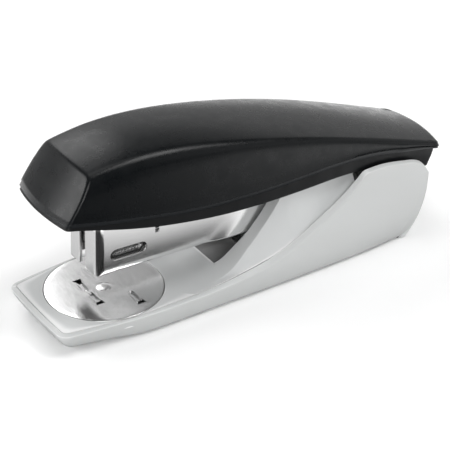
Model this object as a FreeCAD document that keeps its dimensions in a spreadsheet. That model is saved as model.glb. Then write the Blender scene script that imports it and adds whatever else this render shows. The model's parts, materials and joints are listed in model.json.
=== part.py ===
import FreeCAD, Part
import Sketcher
import math
import os
import re

from FreeCAD import Placement, Rotation, Vector

# Desk stapler.  The row frame has its origin under the middle of the stapler, on the desk:
# +X runs from the nose to the hinge end, +Z is up, and the XZ plane is the plane of symmetry.
# The magazine, the lever and what they carry are drawn in the pin frame, whose origin is the
# hinge pin's axis, and their Placement turns them by magazine_tilt about that pin.

SIZES = {
    # overall
    "overall_length": 143.5,
    "overall_width": 40.4,
    "overall_height": 59.5,
    # base shell, deck and cheeks
    "base_tail_gap": 9.0,        # from the base's rear end to the handle's tip
    "rim_height": 8.4,
    "housing_height": 31.0,
    "shell_wall": 1.4,
    "shell_floor": 1.8,
    "sole_height": 1.0,
    "sole_proud": 0.5,
    "sole_inset": 3.2,
    "deck_thickness": 2.6,
    "deck_length": 57.5,         # from the front of the base to the frame's edge
    "cheek_height": 32.6,
    "cheek_wall": 1.4,
    "cheek_outer": 14.4,
    "cheek_bevel": 1.0,
    "cheek_end": 28.0,           # behind the cheeks, up to the rear end of the base
    "rear_gap_width": 31.0,
    "rear_sill": 8.0,
    "part_gap": 0.1,
    # frame and hinge
    "pin_inset": 21.0,           # from the handle's tip to the hinge pin's axis
    "pin_height": 20.0,
    "pin_radius": 2.0,
    "pin_fit": 0.05,
    "pin_head": 3.4,
    "clip_thickness": 0.6,
    "frame_sheet": 1.2,
    "frame_floor_top": 7.9,
    "ear_fit": 0.3,
    "ear_radius": 6.0,
    "ear_length": 15.0,
    "screw_radius": 1.4,
    "screw_head": 2.6,
    "screw_head_height": 1.2,
    "rivet_radius": 1.2,
    "post_radius": 3.2,
    # anvil
    "anvil_setback": 24.5,       # from the front of the base to the anvil's centre
    "anvil_radius": 18.25,
    "anvil_thickness": 1.0,
    "anvil_gap": 0.3,
    "stem_radius": 2.45,
    "stem_fit": 0.05,
    "crimp_offset": 5.3,
    "crimp_depth": 0.5,
    "crimp_width": 1.3,
    # staples and magazine, in the pin frame
    "magazine_tilt": 2.0,
    "magazine_front": 104.85,    # from the pin's axis to the front face
    "magazine_rear": 5.5,
    "magazine_bottom": 5.0,      # below the pin's axis
    "magazine_top": 9.4,
    "head_top": 11.4,
    "head_length": 20.0,
    "sheet": 0.9,
    "thin_sheet": 0.6,
    "slit_width": 3.3,
    "window_length": 12.6,
    "window_height": 4.0,
    "window_front": 4.6,         # from the front face to the window
    "window_rise": 4.0,          # from the lower edge to the window
    "slide_fit": 0.1,
    "staple_width": 12.8,
    "staple_height": 6.0,
    "staple_wire": 0.5,
    "staple_clearance": 0.3,     # from a staple to the channel on each side
    "strip_length": 45.0,
    "follower_length": 14.0,
    "follower_travel": 28.0,
    "rail_fit": 0.2,             # from the rail to a staple on each side
    "rail_rear": 10.0,
    "rail_slot": 2.6,
    "rod_radius": 1.4,
    "coil_wire": 0.5,
    # handle and driver, in the pin frame where they swing with the lever
    "driver_thickness": 0.6,
    "driver_side": 0.3,          # how much narrower than a staple on each side
    "driver_fit": 0.15,
    "driver_lift": 0.25,         # between the driver's foot and the staples
    "lever_sheet": 1.0,
    "lever_side_fit": 0.3,
    "lever_front_height": 20.6,
    "lever_rear_height": 13.2,
    "lever_skirt": 4.0,
    "lever_ear_radius": 5.5,
    "cap_wall": 1.5,
    "rabbet": 0.75,
    "skirt_wall": 1.2,
    "skirt_overlap": 5.0,
    "nose_setback": 3.0,         # from the front of the base to the handle's nose
}

os.makedirs("parts", exist_ok=True)
doc = FreeCAD.newDocument("Stapler")
sheet = doc.addObject("Spreadsheet::Sheet", "sizes")
for row, (alias, number) in enumerate(SIZES.items(), start=1):
    sheet.set(f"A{row}", alias)
    sheet.set(f"B{row}", str(number))
    sheet.setAlias(f"B{row}", alias)
doc.recompute()

WORD = re.compile(r"[a-z][a-z_]*")


def size(alias):
    """The number that a cell of the sheet holds."""
    return float(sheet.get(alias))


def formula(text):
    """An expression in which every size's name points at its cell of the sheet."""
    return WORD.sub(lambda word: "sizes." + word[0] if word[0] in SIZES else word[0], str(text))


def bind(thing, **properties):
    """Ties properties to expressions; a double underscore stands for a dot."""
    for name, text in properties.items():
        thing.setExpression(name.replace("__", "."), formula(text))
    return thing


# Places that several pieces share, as expressions and as numbers.
ANVIL_X = "(-overall_length/2 + anvil_setback)"
PIN_X = "(overall_length/2 - pin_inset)"
REAR_X = "(overall_length/2 - base_tail_gap)"
DECK_END = "(-overall_length/2 + deck_length)"
DRIVER_FRONT = "(magazine_front - sheet - driver_fit)"
CHANNEL_HALF = "(staple_width/2 + staple_clearance + thin_sheet)"
COVER_HALF = f"({CHANNEL_HALF} + part_gap + sheet)"
LEVER_HALF = f"({COVER_HALF} + lever_side_fit + lever_sheet)"
EAR_INNER = f"({LEVER_HALF} + ear_fit)"
FLOOR_TOP = "(sheet + thin_sheet - magazine_bottom)"
STAPLE_TOP = "(sheet + thin_sheet + staple_height + slide_fit/2 - magazine_bottom)"
STRIP_FRONT = "(-magazine_front + sheet + driver_fit + driver_thickness + driver_fit)"
FOLLOWER_FRONT = "(-magazine_front + sheet + 2*driver_fit + driver_thickness + strip_length + slide_fit)"

front_x = -size("overall_length") / 2
rear_x = size("overall_length") / 2 - size("base_tail_gap")
tip_x = size("overall_length") / 2
nose_x = front_x + size("nose_setback")
pin_x = tip_x - size("pin_inset")
pin_z = size("pin_height")
anvil_x = front_x + size("anvil_setback")
half_width = size("overall_width") / 2
cover_half = size("staple_width") / 2 + size("staple_clearance") + size("thin_sheet")
cover_half += size("part_gap") + size("sheet")
lever_half = cover_half + size("lever_side_fit") + size("lever_sheet")
cheek_inner = lever_half + size("ear_fit") + size("part_gap")
opening_half = cover_half + size("lever_side_fit") + 0.15


# ---------------------------------------------------------------- FreeCAD objects
def block(name, x, y, z):
    """A box between pairs of expressions."""
    solid = doc.addObject("Part::Box", name)
    spans = {"Length": x, "Width": y, "Height": z}
    for side, (low, high) in spans.items():
        bind(solid, **{side: f"({high}) - ({low})"})
    return bind(solid, Placement__Base__x=x[0], Placement__Base__y=y[0], Placement__Base__z=z[0])


def rod(name, along, radius, start, end, at=(0, 0, 0)):
    """A round bar along X, Y or Z between two expressions; at places its axis."""
    solid = doc.addObject("Part::Cylinder", name)
    turns = {"X": Rotation(Vector(0, 1, 0), 90), "Y": Rotation(Vector(1, 0, 0), -90), "Z": Rotation()}
    solid.Placement = Placement(Vector(), turns[along])
    bind(solid, Radius=radius, Height=f"({end}) - ({start})")
    base = dict(zip("XYZ", at))
    base[along] = start
    return bind(solid, Placement__Base__x=base["X"], Placement__Base__y=base["Y"], Placement__Base__z=base["Z"])


def fuse(name, *pieces):
    joined = doc.addObject("Part::MultiFuse", name)
    joined.Shapes = list(pieces)
    joined.Refine = True
    return joined


def cut(name, base, *tools):
    """base less every tool."""
    tool = tools[0] if len(tools) == 1 else fuse(name + "_tools", *tools)
    result = doc.addObject("Part::Cut", name)
    result.Base = base
    result.Tool = tool
    return result


def group(name, *pieces):
    """Separate solids in one node."""
    together = doc.addObject("Part::Compound", name)
    together.Links = list(pieces)
    return together


def moulding(name, shape):
    """A moulded piece, whose shape is made by Part's own functions."""
    piece = doc.addObject("Part::Feature", name)
    piece.Shape = shape
    return piece


def body(name):
    return doc.addObject("PartDesign::Body", name)


def origin_plane(owner, role):
    return next(plane for plane in owner.Origin.OriginFeatures if plane.Role == role)


def outline(owner, name, role, corners):
    """A closed sketch with straight sides; two expressions place each corner."""
    sketch = owner.newObject("Sketcher::SketchObject", name)
    sketch.AttachmentSupport = (origin_plane(owner, role), [""])
    sketch.MapMode = "FlatFace"
    count = len(corners)
    turn = 2 * math.pi / count
    ring = [Vector(20 * math.cos(turn * i), 20 * math.sin(turn * i), 0) for i in range(count)]
    for i in range(count):
        sketch.addGeometry(Part.LineSegment(ring[i], ring[(i + 1) % count]), False)
    for i in range(count):
        sketch.addConstraint(Sketcher.Constraint("Coincident", i, 2, (i + 1) % count, 1))
    for i, (across, up) in enumerate(corners):
        for kind, text, start in (("DistanceX", across, ring[i].x), ("DistanceY", up, ring[i].y)):
            label = f"{kind}_{i}"
            index = sketch.addConstraint(Sketcher.Constraint(kind, -1, 1, i, 1, start))
            sketch.renameConstraint(index, label)
            sketch.setExpression(f"Constraints.{label}", formula(text))
    return sketch


def pad(owner, name, sketch, depth, both_ways=True):
    feature = owner.newObject("PartDesign::Pad", name)
    feature.Profile = sketch
    feature.Midplane = both_ways
    return bind(feature, Length=depth)


def pocket(owner, name, sketch, depth):
    feature = owner.newObject("PartDesign::Pocket", name)
    feature.Profile = sketch
    feature.Midplane = True
    return bind(feature, Length=depth)


def in_pin_frame(piece):
    """Puts a piece drawn about the hinge pin into the row frame, tilted with the magazine."""
    piece.Placement = Placement(Vector(pin_x, 0, pin_z), Rotation(Vector(0, 1, 0), size("magazine_tilt")))
    return bind(piece, Placement__Base__x=PIN_X, Placement__Base__z="pin_height",
                Placement__Rotation__Angle="magazine_tilt")


# ---------------------------------------------------------------- base shell and deck
# Half widths of the base in plan, as shares of its length and of half its width.
BASE_PLAN = ((0.008, 0.767), (0.05, 0.842), (0.118, 0.921), (0.189, 0.982), (0.3, 1.0),
             (0.517, 1.0), (0.74, 0.985), (0.888, 0.95), (0.978, 0.9), (1.012, 0.87))
# Heights as shares of the way up to the housing's top, each with how far the side leans in.
HULL_LEVELS = ((0.0, 2.2), (0.03, 1.6), (0.08, 1.0), (0.15, 0.45), (0.26, 0.0), (0.62, 0.3), (1.0, 1.2),
               (1.15, 1.7))
# The side wall's edge from the rim up to the housing: shares of the length and of the climb.
WALL_SWEEP = ((0.346, 0.0), (0.416, 0.035), (0.48, 0.09), (0.545, 0.173), (0.61, 0.323),
              (0.677, 0.522), (0.743, 0.735), (0.787, 0.92), (0.804, 1.0))
HOUSING_TOP = ((0.804, 1.0), (0.866, 0.99), (0.926, 0.92), (0.968, 0.841), (0.989, 0.757), (1.0, 0.62))
# The rear end leans in towards the desk: how far in front of the rear end, and at what height.
REAR_LEAN = ((0.0, 0.62), (0.6, 0.35), (3.0, 0.0), (6.2, -0.24), (8.8, -0.37))
# The crease along the front of a cheek.
CHEEK_SWEEP = ((0.405, 0.0), (0.439, 0.02), (0.471, 0.132), (0.504, 0.326), (0.548, 0.612),
               (0.584, 0.847), (0.606, 1.0))

base_length = rear_x - front_x
rim = size("rim_height")
bottom_z = size("sole_proud")
housing_climb = size("housing_height") - rim
far = 200.0


def spline(points):
    curve = Part.BSplineCurve()
    curve.interpolate([Vector(*point) for point in points])
    return curve.toShape()


def face_of(*edges):
    return Part.Face(Part.Wire(list(edges)))


def line(start, end):
    return Part.LineSegment(Vector(*start), Vector(*end)).toShape()


def plan_wire(z, inset):
    """The base's outline at one height, drawn in by inset."""
    side = [(front_x + share * base_length, width * half_width - inset) for share, width in BASE_PLAN]
    side = [(x + inset * (1 - 2 * i / (len(side) - 1)), y) for i, (x, y) in enumerate(side)]
    right = [(x, -y, z) for x, y in side]
    left = [(x, y, z) for x, y in side]
    nose = Part.Arc(Vector(*right[0]), Vector(front_x + inset, 0, z), Vector(*left[0])).toShape()
    return Part.Wire([nose, spline(left), line(left[-1], right[-1]), spline(right[::-1])])


def hull(inset):
    """The base's outer form without its side view, drawn in by inset."""
    climb = size("housing_height") - bottom_z
    wires = [plan_wire(bottom_z + share * climb, lean + inset) for share, lean in HULL_LEVELS]
    return Part.makeLoft(wires, True, True)


def side_points(shares, climb=housing_climb):
    return [(front_x + share * base_length, 0, rim + up * climb) for share, up in shares]


def rear_points(inset=0.0):
    return [(rear_x - lean - inset, 0, rim + up * housing_climb) for lean, up in REAR_LEAN]


def across(face, width=far):
    """Extrudes a face in the XZ plane to both sides."""
    face.translate(Vector(0, -width / 2, 0))
    return face.extrude(Vector(0, width, 0))


def slab(x, y, z):
    """A plain box between pairs of numbers."""
    return Part.makeBox(x[1] - x[0], y[1] - y[0], z[1] - z[0], Vector(x[0], y[0], z[0]))


def upright(radius, x, y, low, high):
    return Part.makeCylinder(radius, high - low, Vector(x, y, low))


def base_side_view():
    sweep = side_points(WALL_SWEEP)
    top = side_points(HOUSING_TOP)
    rear = rear_points()
    corner = (front_x - 1, 0, rim)
    foot = (front_x - 1, 0, rear[-1][2])
    return across(face_of(line(foot, corner), line(corner, sweep[0]), spline(sweep), spline(top),
                          spline(rear), line(rear[-1], foot)))


def rear_limit(inset):
    """Everything in front of the rear wall's inner face."""
    rear = rear_points(inset)
    head = (rear[0][0], 0, far)
    corner = (front_x - 1, 0, far)
    foot = (front_x - 1, 0, rear[-1][2])
    return across(face_of(line(foot, corner), line(corner, head), line(head, rear[0]), spline(rear),
                          line(rear[-1], foot)))


SCREW_BACKS = (42, 4)            # in front of the hinge pin's axis
screw_side = opening_half - size("post_radius") - 0.05
screw_spots = [(pin_x - back, side * screw_side) for back in SCREW_BACKS for side in (-1, 1)]
floor_z = bottom_z + size("shell_floor")
frame_bottom = size("frame_floor_top") - size("frame_sheet")
stern_half = size("rear_gap_width") / 2
recess_floor = rim - size("anvil_thickness") - 0.2


def make_base_shell():
    outer = hull(0).common(base_side_view())
    cavity = hull(size("shell_wall")).common(rear_limit(size("shell_wall")))
    cavity = cavity.common(slab((front_x - 1, far), (-far, far), (floor_z, far)))
    shell = outer.cut(cavity)
    shell = shell.cut(slab((pin_x, far), (-stern_half, stern_half), (size("rear_sill"), far)))
    for x, y in screw_spots:
        shell = shell.fuse(upright(size("post_radius"), x, y, floor_z, frame_bottom))
    for x, y in screw_spots:
        shell = shell.cut(upright(size("screw_radius"), x, y, 0, far))
        shell = shell.cut(upright(size("screw_head"), x, y, 0, bottom_z + size("screw_head_height")))
    shell = shell.cut(upright(size("anvil_radius") + size("anvil_gap"), anvil_x, 0, recess_floor, far))
    return shell.cut(sole_blank(-size("part_gap")))


def sole_blank(inset=0.0):
    """The sole's outer form."""
    wire = plan_wire(0, size("sole_inset") + HULL_LEVELS[0][1] + inset)
    sole = Part.Face(wire).extrude(Vector(0, 0, size("sole_height")))
    rear_end = rear_points()[-1][0] - size("sole_inset") - inset
    return sole.common(slab((front_x, rear_end), (-far, far), (0, far)))


def make_sole():
    sole = sole_blank()
    for x, y in screw_spots:
        sole = sole.cut(upright(size("screw_head"), x, y, 0, far))
    return sole


deck_end = front_x + size("deck_length")
cheek_end = rear_x - size("cheek_end")
deck_bottom = rim - size("deck_thickness")
washer_height = 0.6
washer_radius = 5.0


def cheek_section(side, drawn_in):
    """A cheek seen from the front, drawn in by drawn_in."""
    low = deck_bottom - (1 if drawn_in else 0)
    high = size("cheek_height") - drawn_in
    waist = rim + 0.6 * (size("cheek_height") - rim)
    inner = cheek_inner + drawn_in
    outer = size("cheek_outer") - drawn_in
    foot = half_width - size("shell_wall") - drawn_in
    bevel = size("cheek_bevel")
    corners = [(inner, low), (inner, high), (outer - bevel, high), (outer, high - 4 * bevel),
               (outer, waist), (foot, rim), (foot, low)]
    points = [Vector(front_x, side * y, z) for y, z in corners]
    return Part.Face(Part.makePolygon(points + points[:1]))


def cheek(side, drawn_in):
    """A cheek's solid: its section swept back, under the crease of its front edge."""
    swept = cheek_section(side, drawn_in).extrude(Vector(cheek_end - drawn_in - front_x, 0, 0))
    sweep = side_points(CHEEK_SWEEP, size("cheek_height") - rim)
    sweep = [(x + 2 * drawn_in, y, z) for x, y, z in sweep]
    rear_foot = (cheek_end + 1, 0, -1)
    rear_head = (cheek_end + 1, 0, far)
    head = (sweep[-1][0], 0, far)
    foot = (sweep[0][0], 0, -1)
    under = across(face_of(line(foot, sweep[0]), spline(sweep), line(sweep[-1], head),
                           line(head, rear_head), line(rear_head, rear_foot), line(rear_foot, foot)))
    return swept.common(under)


def make_base_deck():
    inside = hull(size("shell_wall") + size("part_gap"))
    deck = inside.common(slab((front_x, cheek_end), (-far, far), (deck_bottom, rim)))
    for side in (-1, 1):
        deck = deck.fuse(cheek(side, 0).common(inside))
    deck = deck.cut(slab((deck_end, far), (-opening_half, opening_half), (0, far)))
    for side in (-1, 1):
        deck = deck.cut(cheek(side, size("cheek_wall")))
    deck = deck.cut(upright(size("anvil_radius") + size("anvil_gap"), anvil_x, 0, recess_floor, far))
    deck = deck.cut(upright(washer_radius + 0.2, anvil_x, 0, recess_floor - washer_height, far))
    return deck.cut(upright(size("stem_radius") + size("stem_fit"), anvil_x, 0, 0, far)).removeSplitter()


nodes = {}


def keep(node, piece):
    """Names a finished sub-part."""
    piece.Label = node
    nodes[node] = piece
    return piece


keep("base_shell", moulding("base_shell_solid", make_base_shell()))
keep("base_deck", moulding("base_deck_solid", make_base_deck()))
keep("rubber_sole", moulding("rubber_sole_solid", make_sole()))


# ---------------------------------------------------------------- frame, hinge pin and screws
FRAME_BOTTOM = "(frame_floor_top - frame_sheet)"
EAR_OUTER = f"({EAR_INNER} + frame_sheet)"
FRAME_REAR = f"({PIN_X} + ear_radius)"
TONGUE_HALF = f"({COVER_HALF} + lever_side_fit)"
LEAF_RIVET = f"({PIN_X} - 46)"
LEAF_TOP = "(frame_floor_top + part_gap + thin_sheet)"
CHEEK_END = f"({REAR_X} - cheek_end)"
PIN_AXIS = (PIN_X, 0, "pin_height")
SCREWS = [(f"({PIN_X} - {back})", f"({side * screw_side})") for back in SCREW_BACKS for side in (-1, 1)]


def make_frame():
    tongue = block("frame_tongue", (f"{DECK_END} + part_gap", FRAME_REAR), (f"-{TONGUE_HALF}", TONGUE_HALF),
                   (FRAME_BOTTOM, "frame_floor_top"))
    plate = block("frame_plate", (f"{CHEEK_END} + part_gap", FRAME_REAR), (f"-{EAR_OUTER}", EAR_OUTER),
                  (FRAME_BOTTOM, "frame_floor_top"))
    pieces = [tongue, plate]
    for side, low, high in (("right", f"-{EAR_OUTER}", f"-{EAR_INNER}"), ("left", EAR_INNER, EAR_OUTER)):
        pieces.append(block(f"ear_{side}", (f"{PIN_X} - ear_radius", f"{PIN_X} + ear_radius"), (low, high),
                            (FRAME_BOTTOM, "pin_height")))
        pieces.append(rod(f"ear_top_{side}", "Y", "ear_radius", low, high, PIN_AXIS))
    holes = [rod("pin_hole", "Y", "pin_radius", f"-{EAR_OUTER} - 1", f"{EAR_OUTER} + 1", PIN_AXIS)]
    for number, (x, y) in enumerate(SCREWS):
        holes.append(rod(f"frame_hole_{number}", "Z", "screw_radius", 0, "frame_floor_top + 1", (x, y, 0)))
    holes.append(rod("rivet_hole", "Z", "screw_radius", 0, "frame_floor_top + 1", (LEAF_RIVET, 0, 0)))
    return cut("base_frame_solid", fuse("frame_blank", *pieces), *holes)


def make_screws():
    screws = []
    for number, (x, y) in enumerate(SCREWS):
        at = (x, y, 0)
        low = "sole_proud + 0.2"
        shank = rod(f"screw_shank_{number}", "Z", "screw_radius", low, "frame_floor_top", at)
        head = rod(f"screw_head_{number}", "Z", "screw_head - 0.3", low, "sole_proud + screw_head_height", at)
        socket = rod(f"screw_socket_{number}", "Z", "screw_radius / 2", "0", "sole_proud + 0.8", at)
        screws.append(cut(f"screw_{number}", fuse(f"screw_blank_{number}", shank, head), socket))
    return group("base_screws_solid", *screws)


def make_pin():
    shank = rod("pin_shank", "Y", "pin_radius", f"-{EAR_OUTER} - 0.9", f"{EAR_OUTER} + 1.4", PIN_AXIS)
    head = rod("pin_cap", "Y", "pin_head", f"-{EAR_OUTER} - 0.9", f"-{EAR_OUTER}", PIN_AXIS)
    return fuse("hinge_pin_solid", shank, head)


def make_clip():
    low = f"{EAR_OUTER} + 0.3"
    plate = rod("clip_ring", "Y", "pin_head", low, f"{low} + clip_thickness", PIN_AXIS)
    bore = rod("clip_bore", "Y", "pin_radius", f"{low} - 1", f"{low} + clip_thickness + 1", PIN_AXIS)
    return cut("pin_clip_solid", plate, bore)


def make_lift_spring():
    """A leaf that is riveted to the frame's floor and lifts the magazine."""
    owner = body("lift_spring_body")
    start = f"({PIN_X} - 51)"
    knee = f"({PIN_X} - 40)"
    crest = f"({PIN_X} - 24)"
    end = f"({PIN_X} - 20)"
    low = "(frame_floor_top + part_gap)"
    high = "(pin_height - magazine_bottom + sheet/2)"
    thick = "(thin_sheet)"
    corners = [(start, low), (knee, low), (crest, f"{high} - {thick}"), (end, f"{high} - {thick} - 1.4"),
               (end, f"{high} - 1.4"), (crest, high), (knee, f"{low} + {thick}"), (start, f"{low} + {thick}")]
    pad(owner, "leaf", outline(owner, "leaf_outline", "XZ_Plane", corners), COVER_HALF)
    hole = rod("leaf_hole", "Z", "screw_radius", low, "pin_height", (LEAF_RIVET, 0, 0))
    return cut("lift_spring_solid", owner, hole)


def make_spring_rivet():
    at = (LEAF_RIVET, 0, 0)
    shank = rod("spring_rivet_shank", "Z", "screw_radius", f"{FRAME_BOTTOM} - 0.6", LEAF_TOP, at)
    head = rod("spring_rivet_head", "Z", "screw_radius + 0.9", LEAF_TOP, f"{LEAF_TOP} + 0.5", at)
    return fuse("spring_rivet_solid", shank, head)


keep("base_frame", make_frame())
keep("base_screws", make_screws())
keep("hinge_pin", make_pin())
keep("pin_clip", make_clip())
keep("lift_spring", make_lift_spring())
keep("spring_rivet", make_spring_rivet())


# ---------------------------------------------------------------- anvil
DISC_BOTTOM = "(rim_height - anvil_thickness)"


def make_anvil_disc():
    """The disc has a pair of crimp pockets that close staples and a pair that leave them open."""
    disc = rod("disc_blank", "Z", "anvil_radius", DISC_BOTTOM, "rim_height", (ANVIL_X, 0, 0))
    tools = [rod("stem_hole", "Z", "stem_radius", "0", "rim_height + 1", (ANVIL_X, 0, 0))]
    spans = {"closing": ("-crimp_offset", "0.5", "(staple_width/2 + 1.2)"),
             "pinning": ("crimp_offset", "(staple_width/2 - 0.6)", "(staple_width/2 + 7.5)")}
    for pair, (offset, near, end) in spans.items():
        for side, low, high in (("right", f"-{end}", f"-{near}"), ("left", near, end)):
            x = f"{ANVIL_X} + ({offset})"
            tools.append(block(f"{pair}_{side}", (f"{x} - crimp_width/2", f"{x} + crimp_width/2"), (low, high),
                               ("rim_height - crimp_depth", "rim_height + 1")))
    return cut("anvil_disc_solid", disc, *tools)


def make_anvil_stem():
    return rod("stem_shank", "Z", "stem_radius", "rim_height - deck_thickness - 1.4", "rim_height + part_gap",
               (ANVIL_X, 0, 0))


def ring(name, inner, outer, low, high, x):
    """A flat ring about an upright axis."""
    return cut(name, rod(name + "_blank", "Z", outer, low, high, (x, 0, 0)),
               rod(name + "_bore", "Z", inner, f"({low}) - 1", f"({high}) + 1", (x, 0, 0)))


keep("anvil_disc", make_anvil_disc())
keep("anvil_stem", make_anvil_stem())
DECK_UNDER = "(rim_height - deck_thickness)"
keep("anvil_clip", ring("anvil_clip_solid", "stem_radius", "stem_radius + 2",
                        f"{DECK_UNDER} - 0.9", f"{DECK_UNDER} - 0.3", ANVIL_X))
keep("anvil_washer", ring("anvil_washer_solid", "stem_radius + 0.5", "stem_radius + 2.5",
                          f"{DISC_BOTTOM} - 0.8", f"{DISC_BOTTOM} - slide_fit", ANVIL_X))


# ---------------------------------------------------------------- magazine, in the pin frame
WINDOW_X = "(-magazine_front + window_front)"
WINDOW_Z = "(window_rise - magazine_bottom)"
MOUTH = "(-magazine_front + head_length/4)"


def window(name):
    """A slot with round ends through both sides of the magazine."""
    radius = "(window_height/2)"
    middle = f"({WINDOW_Z} + {radius})"
    reach = f"({COVER_HALF} + 1)"
    front = f"({WINDOW_X} + {radius})"
    rear = f"({WINDOW_X} + window_length - {radius})"
    return [block(name, (front, rear), (f"-{reach}", reach), (WINDOW_Z, f"{WINDOW_Z} + window_height")),
            rod(name + "_front", "Y", radius, f"-{reach}", reach, (front, 0, middle)),
            rod(name + "_rear", "Y", radius, f"-{reach}", reach, (rear, 0, middle))]


def pin_bore(name, reach=COVER_HALF):
    return rod(name, "Y", "pin_radius + pin_fit", f"-{reach} - 3", f"{reach} + 3")


# The rivets through the magazine's sides: their places along it, and their height over the pin's axis.
RIVET_SPOTS = ("(-45)", "(-20)")
RIVET_HEIGHT = 1.5


def make_magazine_cover():
    """A channel whose front is closed by two flanges with a slit between them."""
    low = "(-magazine_bottom)"
    sides = block("cover_sides", ("-magazine_front", "magazine_rear"), (f"-{COVER_HALF}", COVER_HALF),
                  (low, "magazine_top"))
    head = block("cover_head", ("-magazine_front", "-magazine_front + head_length"),
                 (f"-{COVER_HALF}", COVER_HALF), (low, "head_top"))
    inner = f"({COVER_HALF} - sheet)"
    hollow = block("cover_hollow", ("-magazine_front + sheet", "magazine_rear + 1"), (f"-{inner}", inner),
                   (f"{low} + sheet", "head_top + 1"))
    mouth = block("cover_mouth", ("-magazine_front + sheet", MOUTH), (f"-{inner}", inner), (f"{low} - 1", "0"))
    slit = block("cover_slit", ("-magazine_front - 1", "-magazine_front + sheet + 0.5"),
                 ("-slit_width/2", "slit_width/2"), (f"{low} - 1", "head_top + 1"))
    notch = block("cover_notch", ("-magazine_front + head_length", "-magazine_front + head_length + 1.5"),
                  (f"-{COVER_HALF} - 1", f"{COVER_HALF} + 1"), ("magazine_top - 3", "head_top"))
    return cut("magazine_cover_solid", fuse("cover_blank", sides, head), hollow, mouth, slit, notch,
               *window("cover_window"), pin_bore("cover_bore"), *rivet_holes("cover"))


def rivet_holes(name):
    return [rod(f"{name}_rivet_{number}", "Y", "rivet_radius", f"-{COVER_HALF} - 1", f"{COVER_HALF} + 1",
                (x, 0, RIVET_HEIGHT)) for number, x in enumerate(RIVET_SPOTS)]


CHANNEL_PAST_RAIL = 4.0


def make_staple_channel():
    """The inner channel that the staples slide in."""
    low = "(sheet - magazine_bottom)"
    front = "(-magazine_front + sheet + part_gap)"
    rear = f"(-rail_rear + {CHANNEL_PAST_RAIL})"
    outer = block("channel_blank", (front, rear), (f"-{CHANNEL_HALF}", CHANNEL_HALF), (low, "magazine_top - 4"))
    inner = f"({CHANNEL_HALF} - thin_sheet)"
    hollow = block("channel_hollow", (f"{front} - 1", f"{rear} + 1"), (f"-{inner}", inner),
                   (FLOOR_TOP, "magazine_top"))
    mouth = block("channel_mouth", (f"{front} - 1", MOUTH), (f"-{inner}", inner), (f"{low} - 1", FLOOR_TOP))
    return cut("staple_channel_solid", outer, hollow, mouth, *window("channel_window"), *rivet_holes("channel"))


RAIL_HALF = "(staple_width/2 - staple_wire - rail_fit)"


def make_rail():
    """The core that the staples straddle, with a slot in its top for the follower."""
    top = f"({STAPLE_TOP} - staple_wire - slide_fit)"
    outer = block("rail_blank", (STRIP_FRONT, "-rail_rear"), (f"-{RAIL_HALF}", RAIL_HALF),
                  (f"{FLOOR_TOP} + slide_fit", top))
    inner = f"({RAIL_HALF} - thin_sheet)"
    hollow = block("rail_hollow", (f"{STRIP_FRONT} - 1", "-rail_rear + 1"), (f"-{inner}", inner),
                   (f"{FLOOR_TOP} - 1", f"{top} - thin_sheet"))
    slot = block("rail_slot_tool", (f"{STRIP_FRONT} + 6", "-rail_rear - 3"), ("-rail_slot/2", "rail_slot/2"),
                 (f"{top} - thin_sheet - 1", f"{top} + 1"))
    return cut("staple_rail_solid", outer, hollow, slot)


def staple_form(name, front, rear):
    """A saddle with the staples' section over the rail."""
    half = "(staple_width/2)"
    inner = f"({half} - staple_wire)"
    outer = block(name + "_blank", (front, rear), (f"-{half}", half),
                  (f"{FLOOR_TOP} + slide_fit/2", STAPLE_TOP))
    hollow = block(name + "_hollow", (f"{front} - 1", f"{rear} + 1"), (f"-{inner}", inner),
                   (f"{FLOOR_TOP} - 1", f"{STAPLE_TOP} - staple_wire"))
    return cut(name, outer, hollow)


ROD_RISE = 2.7                   # from the channel's floor to the rod's axis
ROD_Z = f"({FLOOR_TOP} + {ROD_RISE})"
SHOE_INSET = 3.0
BRACKET_INSET = 2.5              # from the rail's rear end to the rear bracket


def make_follower():
    rear = f"({FOLLOWER_FRONT} + follower_length)"
    saddle = staple_form("follower_saddle", FOLLOWER_FRONT, rear)
    span = (f"{FOLLOWER_FRONT} + {SHOE_INSET}", f"{rear} - {SHOE_INSET}")
    tab = block("follower_tab", span, ("-rail_slot/2 + slide_fit*2", "rail_slot/2 - slide_fit*2"),
                (ROD_Z, f"{STAPLE_TOP} - staple_wire/2"))
    shoe = block("follower_shoe", span, ("-3.4", "3.4"), (f"{ROD_Z} - 2.3", f"{ROD_Z} + 1.9"))
    bore = rod("follower_bore", "X", "rod_radius + slide_fit", f"{FOLLOWER_FRONT} - 1", f"{rear} + 1",
               (0, 0, ROD_Z))
    return cut("follower_solid", fuse("follower_blank", saddle, tab, shoe), bore)


def make_spring_rod():
    bar = rod("spring_rod_bar", "X", "rod_radius", f"{STRIP_FRONT} + 1.5", "-rail_rear - 1", (0, 0, ROD_Z))
    return group("spring_rod_solid", bar)


def make_brackets():
    """Two plates inside the rail that hold the spring's rod."""
    half = f"({RAIL_HALF} - thin_sheet)"
    plates = []
    for number, x in enumerate((f"({STRIP_FRONT} + 2)", f"(-rail_rear - {BRACKET_INSET})")):
        plate = block(f"bracket_blank_{number}", (x, f"{x} + sheet"), (f"-{half}", half),
                      (f"{FLOOR_TOP} + slide_fit", f"{STAPLE_TOP} - staple_wire - slide_fit - thin_sheet"))
        hole = rod(f"bracket_hole_{number}", "X", "rod_radius", f"{x} - 1", f"{x} + 2", (0, 0, ROD_Z))
        plates.append(cut(f"bracket_{number}", plate, hole))
    return group("rod_brackets_solid", *plates)


def coil(radius, wire, pitch, span):
    """A helical wire about +Z, starting at z = 0."""
    helix = Part.makeHelix(pitch, span, radius)
    section = Part.Wire(Part.Circle(Vector(radius, 0, 0), Vector(0, 1, 0), wire / 2).toShape())
    return Part.Wire(helix).makePipeShell([section], True, True)


floor_top = size("sheet") + size("thin_sheet") - size("magazine_bottom")


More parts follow.
